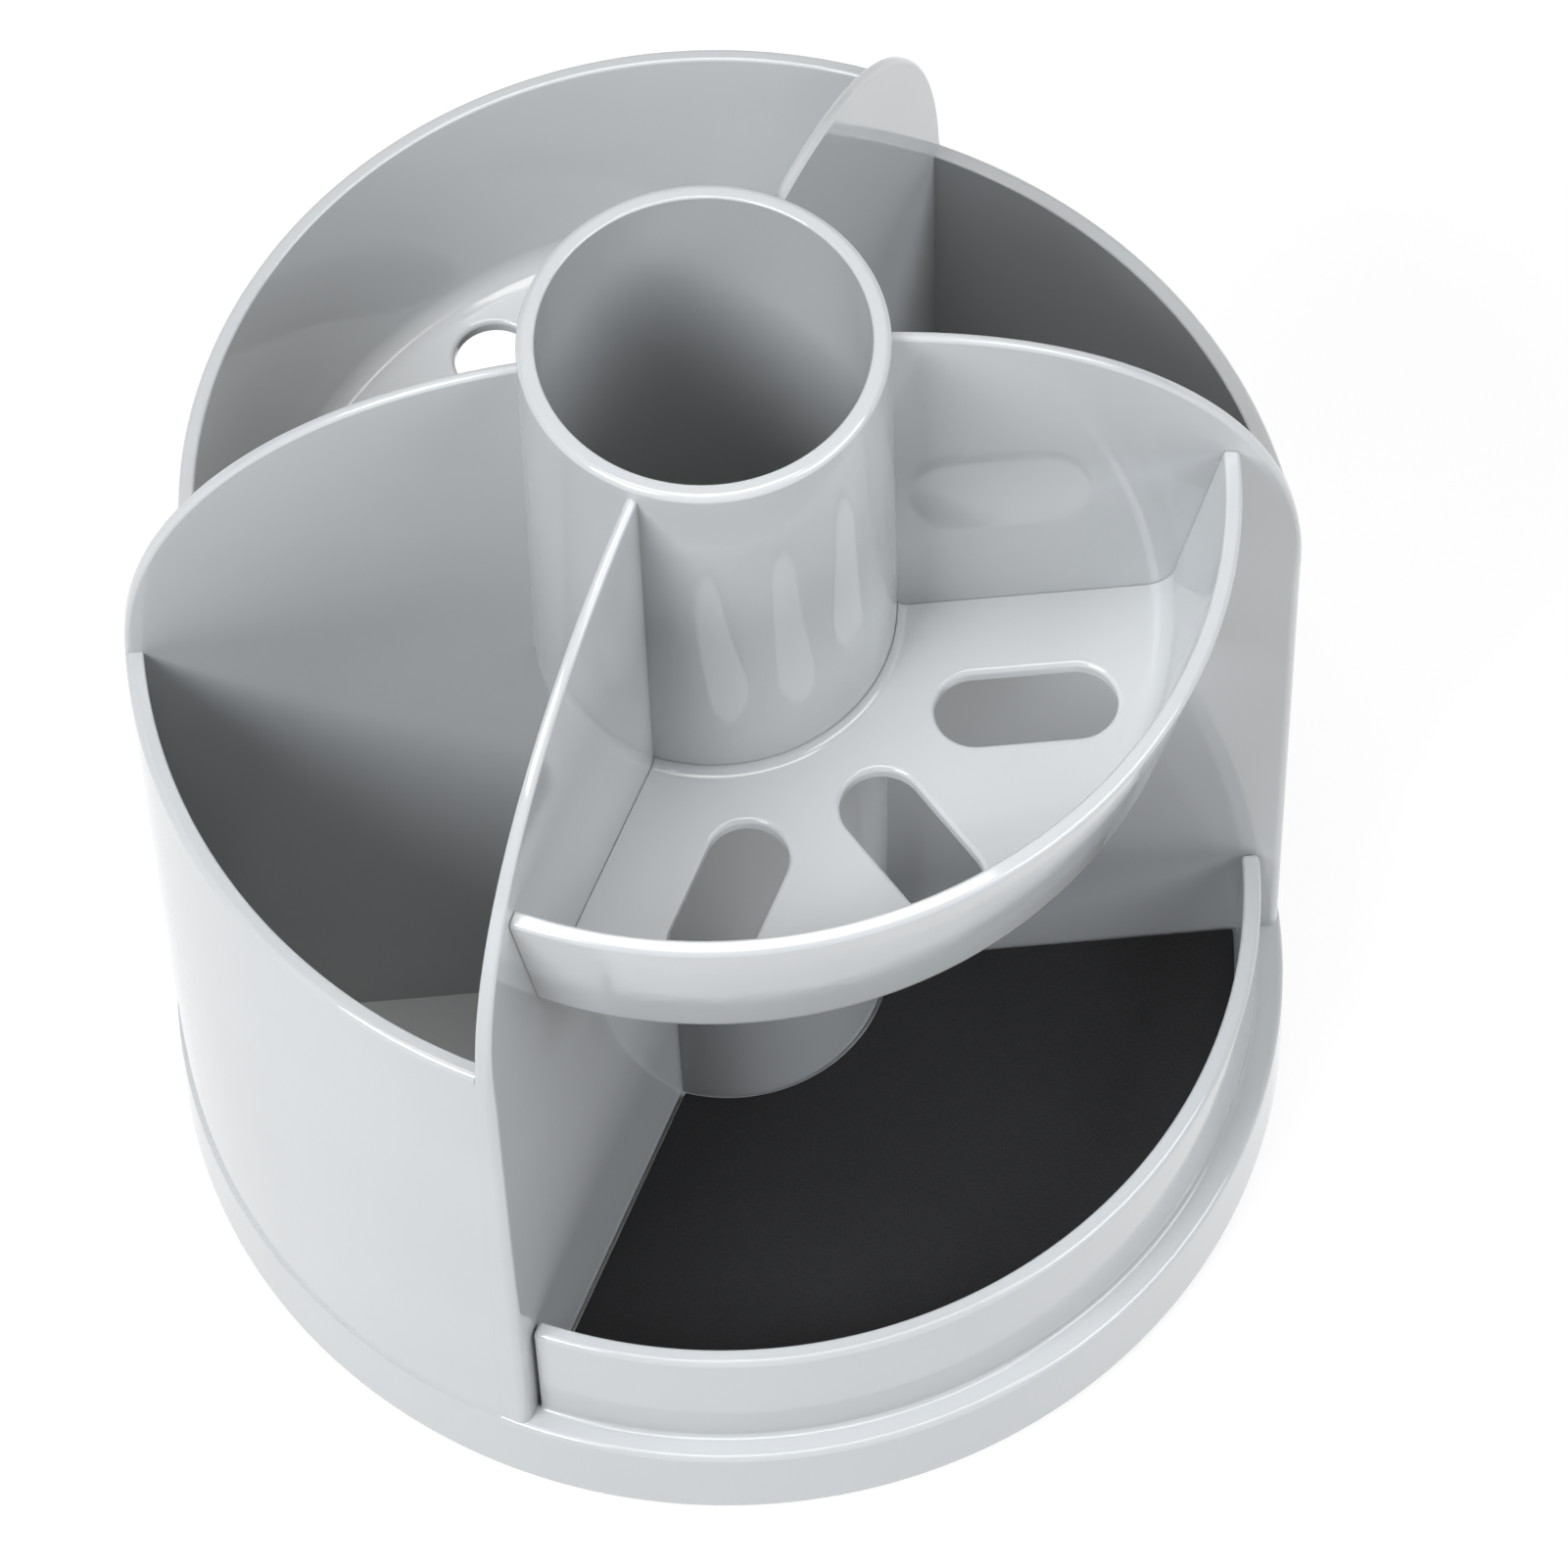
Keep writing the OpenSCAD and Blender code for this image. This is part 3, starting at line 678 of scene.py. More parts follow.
def nitrile_rubber(name):
    """Moulded nitrile rubber: black, soft sheen, slightly dusty."""
    shade = settings("colours").rubber
    made, tree, shader, place = material(name, shade, roughness=0.62, IOR=1.52)
    dust = mottled(tree, place, shade, patch=0.003, low=0.9, high=1.25)
    tree.links.new(dust, shader.inputs["Base Color"])
    # The mould's grain is about 0.4 mm across
    mould = 0.0004
    grain = add_node(tree, "ShaderNodeTexNoise", {"Vector": place, "Scale": 1 / mould, "Detail": 2.0})
    bump = add_node(tree, "ShaderNodeBump", {
        "Height": grain.outputs["Fac"], "Strength": 0.2, "Distance": 0.0001})
    tree.links.new(bump.outputs[0], shader.inputs["Normal"])
    return made


def chrome_steel(name):
    """Chrome steel balls, ground and lapped: a clear mirror with the faintest film of grease."""
    made, tree, shader, place = material(name, settings("colours").bearing, roughness=0.08, Metallic=1.0)
    # The film varies over about 2 mm
    smear = 0.002
    film = add_node(tree, "ShaderNodeTexNoise", {"Vector": place, "Scale": 1 / smear, "Detail": 2.0})
    gloss = add_node(tree, "ShaderNodeMapRange", {
        "Value": film.outputs["Fac"], "To Min": 0.05, "To Max": 0.16})
    tree.links.new(gloss.outputs[0], shader.inputs["Roughness"])
    return made


def zinc_plate(name):
    """Zinc-plated steel, barrel plated: pale metal with a fine crystalline mottle."""
    shade = settings("colours").zinc
    made, tree, shader, place = material(name, shade, roughness=0.3, Metallic=1.0)
    colour_drift = mottled(tree, place, shade, patch=0.0012, low=0.85, high=1.0)
    tree.links.new(colour_drift, shader.inputs["Base Color"])
    # Crystals are about 0.6 mm across
    crystal = 0.0006
    grain = add_node(tree, "ShaderNodeTexNoise", {"Vector": place, "Scale": 1 / crystal, "Detail": 3.0})
    gloss = add_node(tree, "ShaderNodeMapRange", {
        "Value": grain.outputs["Fac"], "To Min": 0.22, "To Max": 0.42})
    tree.links.new(gloss.outputs[0], shader.inputs["Roughness"])
    return made


def white_paper(name):
    """White paper, photographed over-exposed: it glows a little, and has no sheen."""
    shade = settings("colours").floor
    made, tree, shader, place = material(name, shade, roughness=0.9, **{
        "Emission Color": (1, 1, 1, 1), "Emission Strength": settings("stage").floor_glow,
        "Specular IOR Level": 0.0})
    tree.links.new(mottled(tree, place, shade, patch=0.4, low=0.995, high=1.0), shader.inputs["Base Color"])
    return made


# Name and maker of the material in each slot, and of the floor's
PAINTS = {
    "shell_plastic": ("Polished ABS", polished_abs),
    "turntable_plastic": ("Natural acetal", natural_acetal),
    "mat_foam": ("EVA foam", eva_foam),
    "foot_rubber": ("Nitrile rubber", nitrile_rubber),
    "bearing_steel": ("Lapped chrome steel", chrome_steel),
    "screw_steel": ("Zinc plate", zinc_plate),
    "floor": ("White paper", white_paper),
}


def paint(slot):
    """The material of a slot. It is made once, and its pieces share it."""
    name, make = PAINTS[slot]
    return bpy.data.materials.get(name) or make(name)


# Pieces

class PENHOLDER_OT_base_tray(bpy.types.Operator):
    """Build the base tray: floor, skirt, two low lips, upper race, spigot and ribs"""
    bl_idname = "penholder.base_tray"
    bl_label = "Base Tray"

    def execute(self, context):
        sizes, bearing = settings("base"), settings("turntable")
        race_z = bearing.ball_height + bearing.groove - GROOVE_DEPTH
        shape = Shape()
        shape.lathe(self.section(sizes, bearing, race_z), steps=256)
        outer, inner = sizes.radius - sizes.ledge, sizes.radius - sizes.ledge - sizes.lip
        lip = [(inner, FLOOR_Z - SUNK), (outer + sizes.lip_fillet, FLOOR_Z - SUNK)]
        lip += rounding(outer, FLOOR_Z, sizes.lip_fillet, -90, -180)
        lip += flat_rim(outer, inner, HIGH["base_tray"].z, sizes.lip_soft, sizes.lip_crisp)
        for turn in BAYS.values():
            spread = math.pi / 2 - settings("dividers").spread
            sector(shape, lip, math.radians(turn), spread, sizes.lip_gap, sizes.lip_fillet)
        piece = shape.build("Base_tray", "shell_plastic")
        # One spoke of two ribs, inside and outside the race, goes round under the floor
        spoke, relief, chamfer = Shape(), 0.0006, 0.0002
        inside = (bearing.spigot - SUNK, bearing.ball_radius - bearing.race + SUNK)
        outside = (bearing.ball_radius + bearing.race - SUNK, sizes.radius - sizes.skirt + SUNK)
        low, high = race_z + relief, FLOOR_Z - sizes.floor + SUNK
        for start, end in (inside, outside):
            spoke.block((start, -sizes.rib / 2, low), (end, sizes.rib / 2, high), chamfer)
        join(piece, round_copies(spoke, "Ribs", "shell_plastic", sizes.ribs, 0.0, math.pi / sizes.ribs))
        settle(piece, "carousel", "shell_plastic", "base_tray")
        return {"FINISHED"}

    def section(self, sizes, bearing, race_z):
        """Section of the floor, skirt, race and spigot, round to the hole for the tube's boss."""
        under, inner, hollow = FLOOR_Z - sizes.floor, sizes.radius - sizes.skirt, 0.001
        spigot_end, boss_z = LOW["base_tray"].z, LOW["pen_tube"].z
        boss_r, shank_r = settings("tube").boss / 2 + SEAT, bearing.screw / 2 + SCREW_ROOM
        section = [(boss_r, FLOOR_Z)]
        section += rounding(sizes.radius - sizes.lean, FLOOR_Z, sizes.ledge_round, 90, 0, 10)
        section += rounding(sizes.radius, sizes.desk_gap, 2 * FINE, 0, -90, 6)
        section += rounding(inner, sizes.desk_gap, FINE, -90, -180)
        section += rounding(inner, under, hollow, 0, 90, 6)
        section += [(bearing.ball_radius + bearing.race, under)] + race(bearing, race_z)
        section += [(bearing.ball_radius - bearing.race, under), (bearing.spigot, under)]
        section += rounding(bearing.spigot, spigot_end, FINE, 0, -90)
        return section + [(shank_r, spigot_end), (shank_r, boss_z), (boss_r, boss_z)]


class PENHOLDER_OT_pen_tube(bpy.types.Operator):
    """Build the pen tube: tapered wall, flat rim with rounded edges, inner floor and screw boss"""
    bl_idname = "penholder.pen_tube"
    bl_label = "Pen Tube"

    def execute(self, context):
        sizes = settings("tube")
        boss_z, boss_r = LOW["pen_tube"].z, sizes.boss / 2
        thread_room, hole_depth = 0.00005, 0.0085
        hole_r, hole_top = settings("turntable").screw / 2 + thread_room, boss_z + hole_depth
        foot_r, lift = tube_radius(FLOOR_Z), FLOOR_Z + sizes.floor
        section = [(0, hole_top), (hole_r, hole_top), (hole_r, boss_z), (boss_r, boss_z), (boss_r, FLOOR_Z)]
        section += rounding(foot_r, FLOOR_Z, FINE, -90, 0)
        section += [(tube_radius(z), z) for z in (SHOULDER_Z - sizes.step, SHOULDER_Z)]
        rim = (sizes.radius, sizes.radius - sizes.wall, HIGH["pen_tube"].z, sizes.rim_soft, sizes.rim_crisp)
        section += flat_rim(*rim)
        section += rounding(foot_r - sizes.wall, lift, sizes.inner_round, 0, -90, 8) + [(0, lift)]
        shape = Shape()
        shape.lathe(section, closed=False)
        finish(shape, "carousel", "shell_plastic", "pen_tube")
        return {"FINISHED"}


class PENHOLDER_OT_dividers(bpy.types.Operator):
    """Build the four crowned dividers, each with its locating tang and its cleat"""
    bl_idname = "penholder.dividers"
    bl_label = "Dividers"

    def execute(self, context):
        for name, (side, bay) in DIVIDERS.items():
            turn = math.radians(SIDES[side]) + bay * settings("dividers").spread
            self.divider("divider_" + name, turn, bay)
        return {"FINISHED"}

    def divider(self, name, turn, bay):
        """A divider that is made along the X axis and turned to its place."""
        sizes = settings("dividers")
        rows = [self.across(at, normal, bay) for at, normal in self.outline(HIGH[name].z)]
        inner_x, low_half = tube_radius(FLOOR_Z) - SUNK, divider_half(FLOOR_Z)
        feet = [(inner_x, bay * low_half, FLOOR_Z), (inner_x, -bay * low_half, FLOOR_Z)]
        shape = Shape()
        shape.grid(rows)
        shape.cap([row[0] for row in rows] + feet[:1])
        shape.cap([row[-1] for row in rows] + feet[1:])
        shape.cap(rows[0] + feet[::-1])
        shape.cap(rows[-1] + feet[::-1])
        # The tang's end stands just proud of the base tray's underside
        tang, tang_in, tang_out, proud, root, chamfer = sizes.tang / 2, 0.047, 0.057, 0.0001, 0.001, 0.0002
        shape.block((tang_in, -tang, LOW[name].z - proud), (tang_out, tang, FLOOR_Z + root), chamfer)
        cleat_in, cleat_out, cleat_height = 0.028, 0.05, 0.002
        low, high = sorted((0, bay * (divider_half(TRAY_Z) + sizes.cleat)))
        shape.block((cleat_in, low, TRAY_Z - cleat_height), (cleat_out, high, TRAY_Z), FINE)
        spin = Matrix.Rotation(turn, 3, "Z")
        shape.points = [spin @ p for p in shape.points]
        finish(shape, "carousel", "shell_plastic", name)

    def outline(self, crown_z, steps=72):
        """Points from the tube over the crown and down the outer edge, each with its outward direction."""
        sizes, outer = settings("dividers"), settings("side_walls").radius
        end_z = RIM_Z - sizes.crown_dip
        across, rise, power = outer - sizes.crown_start, crown_z - end_z, 2 / sizes.crown_power
        start = math.acos(((tube_radius(crown_z) - SUNK - sizes.crown_start) / across) ** (1 / power))
        outline = []
        for i in range(steps + 1):
            t = start * (1 - i / steps)
            c, s = math.cos(t), math.sin(t)
            normal = Vector((c ** (2 - power) / across, s ** (2 - power) / rise)).normalized()
            at = Vector((sizes.crown_start + across * c ** power, end_z + rise * s ** power))
            outline.append((at, normal))
        upright = [end_z - drop for drop in (0.001, 0.003, 0.01, 0.03)] + [FLOOR_Z]
        return outline + [(Vector((outer, z)), Vector((1, 0))) for z in upright]

    def across(self, at, normal, bay, steps=8):
        """Points across the edge at a place of the outline, from the bay's side to the compartment's. Both
        sides are rounded above the side wall's rim. Below it the compartment's is the wall's."""
        sizes, outer = settings("dividers"), settings("side_walls").radius
        fade_below, fade_above, turn_over, least = 0.0012, 0.0008, 0.006, 0.00001
        blend = ramp(at.y, RIM_Z - fade_below, RIM_Z + fade_above)
        smooth = blend * blend * (3 - 2 * blend)
        drop = 1 - ramp(at.y, RIM_Z - turn_over, RIM_Z + turn_over)
        bay_edge = sizes.edge + (sizes.outer_edge - sizes.edge) * drop
        halves = []
        for side, edge in ((bay, bay_edge), (-bay, max(sizes.edge * smooth, least))):
            half = []
            for i in range(steps + 1):
                a = math.pi / 2 * i / steps
                point = at - normal * edge * (1 - math.sin(a))
                y = divider_half(point.y) - edge * (1 - math.cos(a))
                # The edge follows the round of the side walls
                half.append((point.x - y * y / (2 * outer), side * y, point.y))
            halves.append(half)
        return halves[0] + halves[1][::-1]


class PENHOLDER_OT_side_walls(bpy.types.Operator):
    """Build the two curved side walls between their dividers"""
    bl_idname = "penholder.side_walls"
    bl_label = "Side Walls"

    def execute(self, context):
        sizes, base, spread = settings("side_walls"), settings("base"), settings("dividers").spread
        # The fillet at the foot runs onto the rounded edge of the ledge, and ends where the two arcs touch
        hollow, edge = sizes.foot_fillet, base.radius - base.lean - base.ledge_round
        away = sizes.radius + hollow - edge
        rise = math.sqrt((hollow + base.ledge_round) ** 2 - away ** 2)
        touch = 180 + math.degrees(math.atan2(rise, away))
        section = [(sizes.radius - sizes.rim - sizes.swell, FLOOR_Z), (sizes.radius - hollow, FLOOR_Z)]
        section += [(edge, FLOOR_Z - base.ledge_round)]
        section += arc(sizes.radius + hollow, FLOOR_Z - base.ledge_round + rise, hollow, touch, 180, 6)
        section += flat_rim(sizes.radius, sizes.radius - sizes.rim, RIM_Z, sizes.rim_soft, sizes.rim_crisp)
        for side, turn in SIDES.items():
            shape = Shape()
            sector(shape, section, math.radians(turn), spread, gap=0, edge=0)
            finish(shape, "carousel", "shell_plastic", "side_wall_" + side)
        return {"FINISHED"}


class PENHOLDER_OT_upper_trays(bpy.types.Operator):
    """Build the two upper trays: slotted floor, leaning wall with a flat rim, and collar round the tube"""
    bl_idname = "penholder.upper_trays"
    bl_label = "Upper Trays"

    def execute(self, context):
        for bay, turn in BAYS.items():
            self.tray(bay + "_tray", math.radians(turn))
        return {"FINISHED"}

    def wall(self, sizes, floor, top):
        """Section of the wall, from the floor's underside over the rim to the floor's top."""
        lean = math.atan(sizes.lean / (top - floor))
        setback = sizes.corner * (math.cos(lean) - math.tan(lean) * (1 - math.sin(lean)))
        corner = (sizes.floor_radius - setback, floor + sizes.corner)
        out, up = Vector((math.cos(lean), -math.sin(lean))), Vector((math.sin(lean), math.cos(lean)))
        half, soft, crisp = sizes.wall / 2, sizes.rim_soft, sizes.rim_crisp
        # The middle of the wall's flat top, with its inner edge at the tray's full height
        tip = top - (half - crisp) * math.sin(lean) - crisp * (1 - math.cos(lean))
        rise = tip - floor - out.y * half
        middle = Vector((sizes.floor_radius + math.tan(lean) * rise + out.x * half, tip))
        outer_edge = middle + out * (half - soft) - up * soft
        inner_edge = middle - out * (half - crisp) - up * crisp
        turn = math.degrees(lean)
        wall = arc(*corner, sizes.corner + sizes.wall, -90, -turn)
        wall += arc(*outer_edge, soft, -turn, 90 - turn)
        wall += arc(*inner_edge, crisp, 90 - turn, 180 - turn)
        return wall + arc(*corner, sizes.corner, -turn, -90)

    def tray(self, name, turn):
        sizes, spread = settings("trays"), math.pi / 2 - settings("dividers").spread
        under, top = LOW[name].z, HIGH[name].z
        floor, hole = under + sizes.wall, tube_radius(under) + sizes.gap
        wall = self.wall(sizes, floor, top)
        collar = rounding(hole, floor, sizes.collar, -90, -180, 6) + [(hole, under)]
        ends = sector_ends(wall + collar, spread, sizes.gap, edge=0.0001, steps=96)
        rows = [placed(row, turn) for row in ends]
        shape, split = Shape(), len(wall)
        shape.grid(rows[:split])
        shape.grid(rows[split:])
        # The rounded ends run on over the floor's top and underside
        for pair in ((rows[split - 1], rows[split]), (rows[-1], rows[0])):
            shape.grid([row[:END] for row in pair])
            shape.grid([row[-END:] for row in pair])
        shape.cap([row[0] for row in rows])
        shape.cap([row[-1] for row in rows])
        slots = self.slots(sizes, turn, spread, under, floor)
        for slot in slots:
            shape.grid(slot, closed_rows=True)
        # The floor's two faces lie between the wall and the collar, round the slots
        faces = ((0, under, rows[0], rows[-1]), (-1, floor, rows[split - 1], rows[split]))
        for at, z, outer, inner in faces:
            outline = outer[END - 1:1 - END] + inner[END - 1:1 - END][::-1]
            holes = [[p[:2] for p in slot[at]] for slot in slots]
            shape.sheet([p[:2] for p in outline], holes, z)
        finish(shape, "carousel", "shell_plastic", name)

    def slots(self, sizes, turn, spread, under, floor):
        """Rings of points of each slot's side, from the floor's underside to its top."""
        run, half = sizes.slot_length - sizes.slot_width, sizes.slot_width / 2
        flank = rounding(half, under, FINE, -90, -180, 3)
        flank += rounding(half, floor, sizes.slot_round, 180, 90, 8)
        slots = []
        for i in (-1, 0, 1):
            a = turn + i * sizes.slot_pitch
            centre = (sizes.slot_radius * math.cos(a), sizes.slot_radius * math.sin(a))
            rings = [(stadium(centre, turn + i * spread, run, radius), z) for radius, z in flank]
            slots.append([[(x, y, z) for x, y in ring] for ring, z in rings])
        return slots


class PENHOLDER_OT_mats(bpy.types.Operator):
    """Cut the two foam mats to the floors of the bays"""
    bl_idname = "penholder.mats"
    bl_label = "Mats"

    def execute(self, context):
        sizes, base = settings("mats"), settings("base")
        spread, soft = math.pi / 2 - settings("dividers").spread, sizes.edge
        outer = base.radius - base.ledge - base.lip - sizes.gap
        for bay, turn in BAYS.items():
            low, high = LOW[bay + "_mat"].z, HIGH[bay + "_mat"].z
            inner = tube_radius(low) + sizes.gap
            section = [(inner, low), (outer, low)]
            section += rounding(outer, high, soft, 0, 90) + rounding(inner, high, soft, 90, 180)
            shape = Shape()
            sector(shape, section, math.radians(turn), spread, sizes.gap, soft / 2)
            piece = finish(shape, "carousel", "mat_foam", bay + "_mat")
        return {"FINISHED"}


class PENHOLDER_OT_foot_plate(bpy.types.Operator):
    """Build the fixed foot plate: web, rim, hub, lower race and foot pads"""
    bl_idname = "penholder.foot_plate"
    bl_label = "Foot Plate"

    def execute(self, context):
        sizes = settings("turntable")
        radius, low, web = HIGH["foot_plate"].x, LOW["foot_plate"].z, sizes.web_height
        top, race_web = web + sizes.web, 0.0003
        rim, rim_round, rim_hollow = 0.0018, 0.0008, 0.0006
        hub_width, hub_height, hub_chamfer = 0.0026, 0.0026, 0.0005
        hub_r, hub_top = sizes.bore + hub_width, top + hub_height
        section = [(sizes.bore, web)] + rounding(radius - rim, web, rim_hollow, 90, 0)
        section += rounding(radius - rim, low, FINE, 180, 270) + rounding(radius, low, FINE, -90, 0)
        section += rounding(radius, top, rim_round, 0, 90, 6) + [(sizes.ball_radius + sizes.race, top)]
        section += race(sizes, top + GROOVE_DEPTH + race_web) + [(sizes.ball_radius - sizes.race, top)]
        section += [(hub_r, top), (hub_r - hub_chamfer, hub_top), (sizes.bore, hub_top)]
        shape = Shape()
        shape.lathe(section)
        piece = shape.build("Foot_plate", "turntable_plastic")
        pad, pad_wall, cup_depth = Shape(), 0.0014, 0.0006
        pad_r, cup_r, cup_z = sizes.foot / 2 + pad_wall, sizes.foot / 2 + SEAT, low + cup_depth
        section = [(0, cup_z), (cup_r, cup_z), (cup_r, low)] + rounding(pad_r, low, FINE, -90, 0)
        pad.lathe(section + [(pad_r, web + SUNK), (0, web + SUNK)], steps=48, closed=False)
        pads = (sizes.feet, sizes.foot_radius, math.pi / sizes.feet)
        join(piece, round_copies(pad, "Pads", "turntable_plastic", *pads))
        settle(piece, "foot", "turntable_plastic", "foot_plate")
        return {"FINISHED"}


class PENHOLDER_OT_rubber_feet(bpy.types.Operator):
    """Build the rubber feet under the foot plate"""
    bl_idname = "penholder.rubber_feet"
    bl_label = "Rubber Feet"

    def execute(self, context):
        sizes = settings("turntable")
        low, high, radius = LOW["rubber_feet"].z, HIGH["rubber_feet"].z, sizes.foot / 2
        tread_edge, tread_round = 0.0008, 0.0006
        section = [(0, low), (radius - tread_edge, low)] + rounding(radius, low, tread_round, -80, 0, 6)
        foot = Shape()
        foot.lathe(section + [(radius, high), (0, high)], steps=48, closed=False)
        places = (sizes.feet, sizes.foot_radius, math.pi / sizes.feet)
        feet = round_copies(foot, "Rubber_feet", "foot_rubber", *places)
        settle(feet, "foot", "foot_rubber", "rubber_feet")
        return {"FINISHED"}


class PENHOLDER_OT_ball_ring(bpy.types.Operator):
    """Build the ball cage and the bearing balls in its pockets"""
    bl_idname = "penholder.ball_ring"
    bl_label = "Ball Ring"

    def execute(self, context):
        sizes = settings("turntable")
        low, high, outer = LOW["ball_cage"].z, HIGH["ball_cage"].z, HIGH["ball_cage"].x
        inner, ball_room, half = 2 * sizes.ball_radius - outer, 0.00015, 180 / sizes.balls
        # One share of the cage with its pocket; copies of it close the ring
        share = Shape()
        rim_out, rim_in = arc(0, 0, outer, half, -half, 12), arc(0, 0, inner, -half, half, 12)
        pocket = circle(sizes.ball / 2 + ball_room, 32, sizes.ball_radius)
        for z in (low, high):
            share.sheet(rim_out + rim_in, [pocket], z, spacing=0.002)
        for loop, closed in ((rim_out, False), (rim_in, False), (pocket, True)):
            share.upright(loop, low, high, closed)
        first = math.pi / sizes.balls
        cage = round_copies(share, "Ball_cage", "turntable_plastic", sizes.balls, 0.0, first)
        settle(cage, "ball_ring", "turntable_plastic", "ball_cage")
        ball = Shape()
        ball.lathe(arc(0, sizes.ball_height, sizes.ball / 2, -90, 90, 16), steps=32, closed=False)
        balls = round_copies(ball, "Bearing_balls", "bearing_steel", sizes.balls, sizes.ball_radius, first)
        settle(balls, "ball_ring", "bearing_steel", "bearing_balls")
        return {"FINISHED"}


class PENHOLDER_OT_pivot(bpy.types.Operator):
    """Build the pivot screw with its cross recess, and the washer over it"""
    bl_idname = "penholder.pivot"
    bl_label = "Pivot Screw and Washer"

    def execute(self, context):
        sizes = settings("turntable")
        self.washer(sizes.screw / 2 + SCREW_ROOM, HIGH["pivot_washer"].x)
        self.screw(sizes.head / 2, sizes.screw / 2)
        return {"FINISHED"}

    def washer(self, hole, outer, soft=0.0002):
        low, high = LOW["pivot_washer"].z, HIGH["pivot_washer"].z
        section = []
        for r, z, start in ((hole, low, 180), (outer, low, 270), (outer, high, 0), (hole, high, 90)):
            section += rounding(r, z, soft, start, start + 90, 3)
        washer = Shape()
        washer.lathe(section, steps=96)
        finish(washer, "carousel", "screw_steel", "pivot_washer")

    def screw(self, head, shank, steps=64):
        """A pan-head screw, head down, with a plus-shaped recess in the head's round face."""
        bottom, seat, tip = LOW["pivot_screw"].z, LOW["pivot_washer"].z, HIGH["pivot_screw"].z
        arm, half_width, depth, spacing = 0.0021, 0.00045, 0.0008, 0.001
        face_r, head_round, point = head - 0.001, 0.0006, 0.0004
        plus = []
        for quarter in range(4):
            spin = Matrix.Rotation(quarter * math.pi / 2, 2)
            corners = ((arm, -half_width), (arm, half_width), (half_width, half_width))
            plus += [tuple(spin @ Vector(p)) for p in corners]
        screw = Shape()
        screw.sheet(circle(face_r, steps), [plus], bottom, spacing)
        screw.upright(plus, bottom, bottom + depth)
        screw.sheet(plus, [], bottom + depth, spacing)
        section = [(face_r, bottom)] + rounding(head, bottom, head_round, -60, 0, 6)
        section += [(head, seat), (shank, seat), (shank, tip - point), (shank - point, tip), (0, tip)]
        screw.lathe(section, steps, closed=False)
        finish(screw, "carousel", "screw_steel", "pivot_screw")


class PENHOLDER_OT_stage(bpy.types.Operator):
    """Set up the pale floor, the soft lights and the camera"""
    bl_idname = "penholder.stage"
    bl_label = "Stage"

    def execute(self, context):
        scene, stage, colours = context.scene, settings("stage"), settings("colours")
        scene.view_settings.view_transform = "Standard"
        half = stage.floor_size / 2
        corners = [(-half, -half, 0), (half, -half, 0), (half, half, 0), (-half, half, 0)]
        mesh = bpy.data.meshes.new("Pale_floor")
        mesh.from_pydata(corners, [], [(0, 1, 2, 3)])
        mesh.materials.append(paint("floor"))
        floor = new_object("Pale_floor", mesh)
        scene.world = bpy.data.worlds.new("Soft daylight")
        scene.world.use_nodes = True
        sky = scene.world.node_tree.nodes["Background"].inputs
        sky["Color"].default_value = (*colours.sky, 1)
        sky["Strength"].default_value = stage.sky_glow
        self.lamp("Key", stage.key_bearing, stage.key_elevation, stage.key_size, stage.key_power,
                  colours.lamp)
        self.lamp("Fill", stage.fill_bearing, stage.fill_elevation, stage.fill_size, stage.fill_power,
                  colours.lamp)
        self.lamp("Top", 0, math.pi / 2, stage.top_size, stage.top_power, colours.overhead)
        self.camera(scene, stage)
        return {"FINISHED"}

    def lamp(self, name, bearing, elevation, size, power, tint):
        """A square area light that looks at the middle of the pen holder."""
        lamp = bpy.data.lights.new(name, "AREA")
        lamp.shape, lamp.size, lamp.energy = "SQUARE", size, power
        lamp.color = tint
        light = new_object(name, lamp)
        away = Vector((math.cos(elevation) * math.cos(bearing), math.cos(elevation) * math.sin(bearing),
                       math.sin(elevation)))
        light.location = (CAD_BOX[0] + CAD_BOX[1]) / 2 + away * settings("stage").light_distance
        light.rotation_euler = away.to_track_quat("Z", "Y").to_euler()

    def camera(self, scene, stage):
        """The camera, at the place and with the turn and lens of the photograph's."""
        spin = Matrix.Rotation(stage.bearing, 3, "Z")
        place = spin @ Vector((0, -math.cos(stage.elevation), math.sin(stage.elevation))) * stage.distance
        flat = math.cos(stage.tilt)
        aim = Vector((math.sin(stage.pan) * flat, math.cos(stage.pan) * flat, -math.sin(stage.tilt)))
        ahead = spin @ aim
        level = spin @ Vector((math.cos(stage.pan), -math.sin(stage.pan), 0))
        down = ahead.cross(level)
        right = math.cos(stage.roll) * level + math.sin(stage.roll) * down
        up = math.sin(stage.roll) * level - math.cos(stage.roll) * down
        camera = new_object("Camera", bpy.data.cameras.new("Camera"))
        camera.data.sensor_width = SENSOR
        camera.data.lens = stage.lens
        camera.matrix_world = Matrix.Translation(place) @ Matrix((right, up, -ahead)).transposed().to_4x4()
        scene.camera = camera


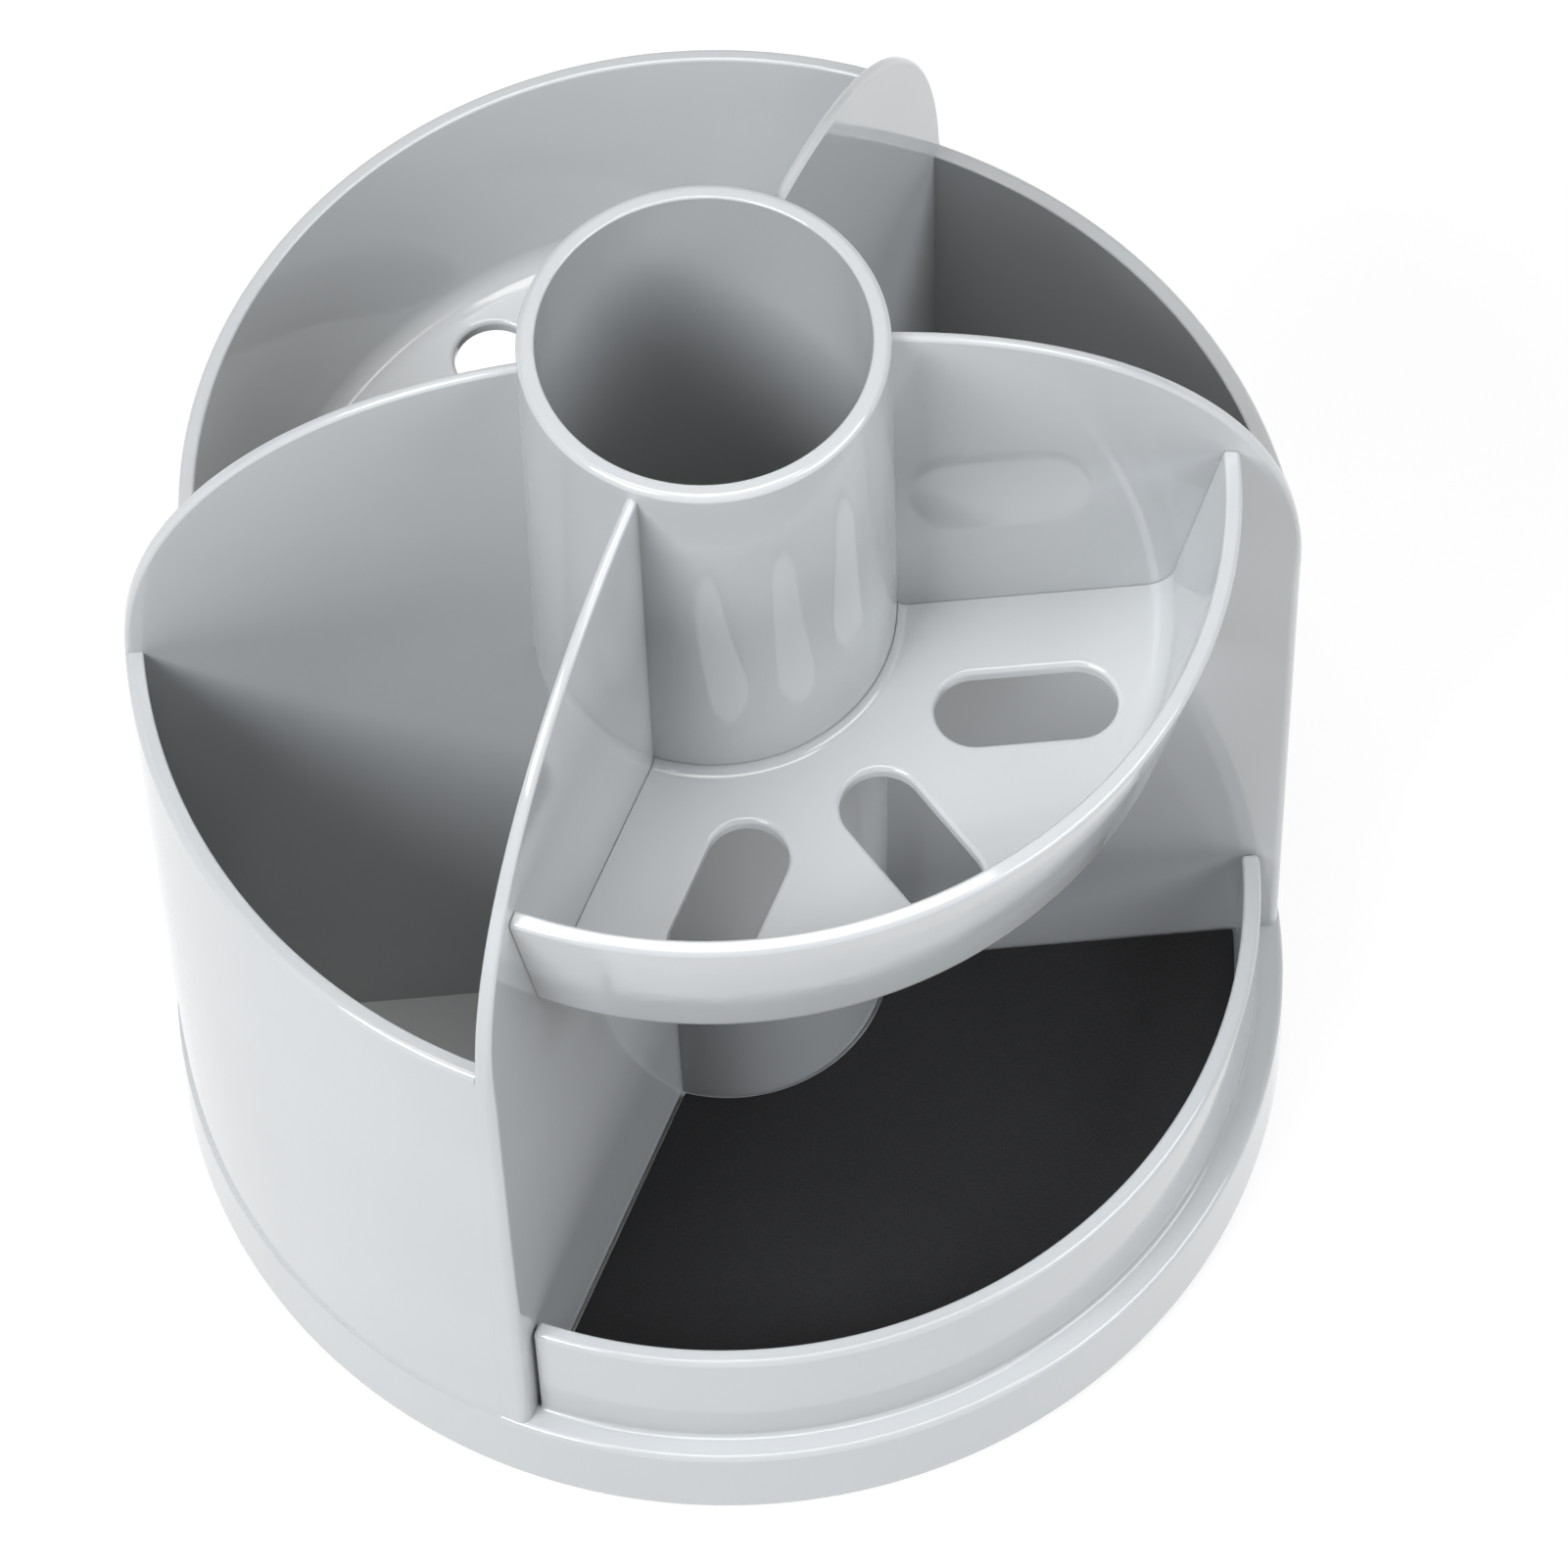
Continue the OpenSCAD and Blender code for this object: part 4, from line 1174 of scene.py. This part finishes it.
class PENHOLDER_PT_sidebar(bpy.types.Panel):
    """Sizes, colours and build steps of the pen holder"""
    bl_idname = "PENHOLDER_PT_sidebar"
    bl_label = "Pen Holder"
    bl_space_type = "VIEW_3D"
    bl_region_type = "UI"
    bl_category = "Pen Holder"

    def draw(self, context):
        for name, group in GROUPS.items():
            box = self.layout.box()
            box.label(text=name.replace("_", " ").title())
            for prop in group.__annotations__:
                box.prop(settings(name), prop)
        for operator in OPERATORS:
            self.layout.operator(operator.bl_idname)


GROUPS = {
    "base": BaseSizes,
    "tube": TubeSizes,
    "dividers": DividerSizes,
    "side_walls": SideWallSizes,
    "trays": TraySizes,
    "mats": MatSizes,
    "turntable": TurntableSizes,
    "colours": Colours,
    "stage": StageSettings,
}
OPERATORS = (PENHOLDER_OT_stage, PENHOLDER_OT_base_tray, PENHOLDER_OT_pen_tube, PENHOLDER_OT_dividers,
             PENHOLDER_OT_side_walls, PENHOLDER_OT_upper_trays, PENHOLDER_OT_mats, PENHOLDER_OT_foot_plate,
             PENHOLDER_OT_rubber_feet, PENHOLDER_OT_ball_ring, PENHOLDER_OT_pivot)


def register():
    for kind in (*GROUPS.values(), *OPERATORS, PENHOLDER_PT_sidebar):
        bpy.utils.register_class(kind)
    for name, group in GROUPS.items():
        setattr(bpy.types.Scene, "pen_holder_" + name, PointerProperty(type=group))


def unregister():
    for name in GROUPS:
        delattr(bpy.types.Scene, "pen_holder_" + name)
    for kind in (PENHOLDER_PT_sidebar, *reversed(OPERATORS), *reversed(GROUPS.values())):
        bpy.utils.unregister_class(kind)


def main():
    register()
    bpy.ops.penholder.stage()
    bpy.ops.penholder.base_tray()
    bpy.ops.penholder.pen_tube()
    bpy.ops.penholder.dividers()
    bpy.ops.penholder.side_walls()
    bpy.ops.penholder.upper_trays()
    bpy.ops.penholder.mats()
    bpy.ops.penholder.foot_plate()
    bpy.ops.penholder.rubber_feet()
    bpy.ops.penholder.ball_ring()
    bpy.ops.penholder.pivot()


if __name__ == "__main__":
    main()
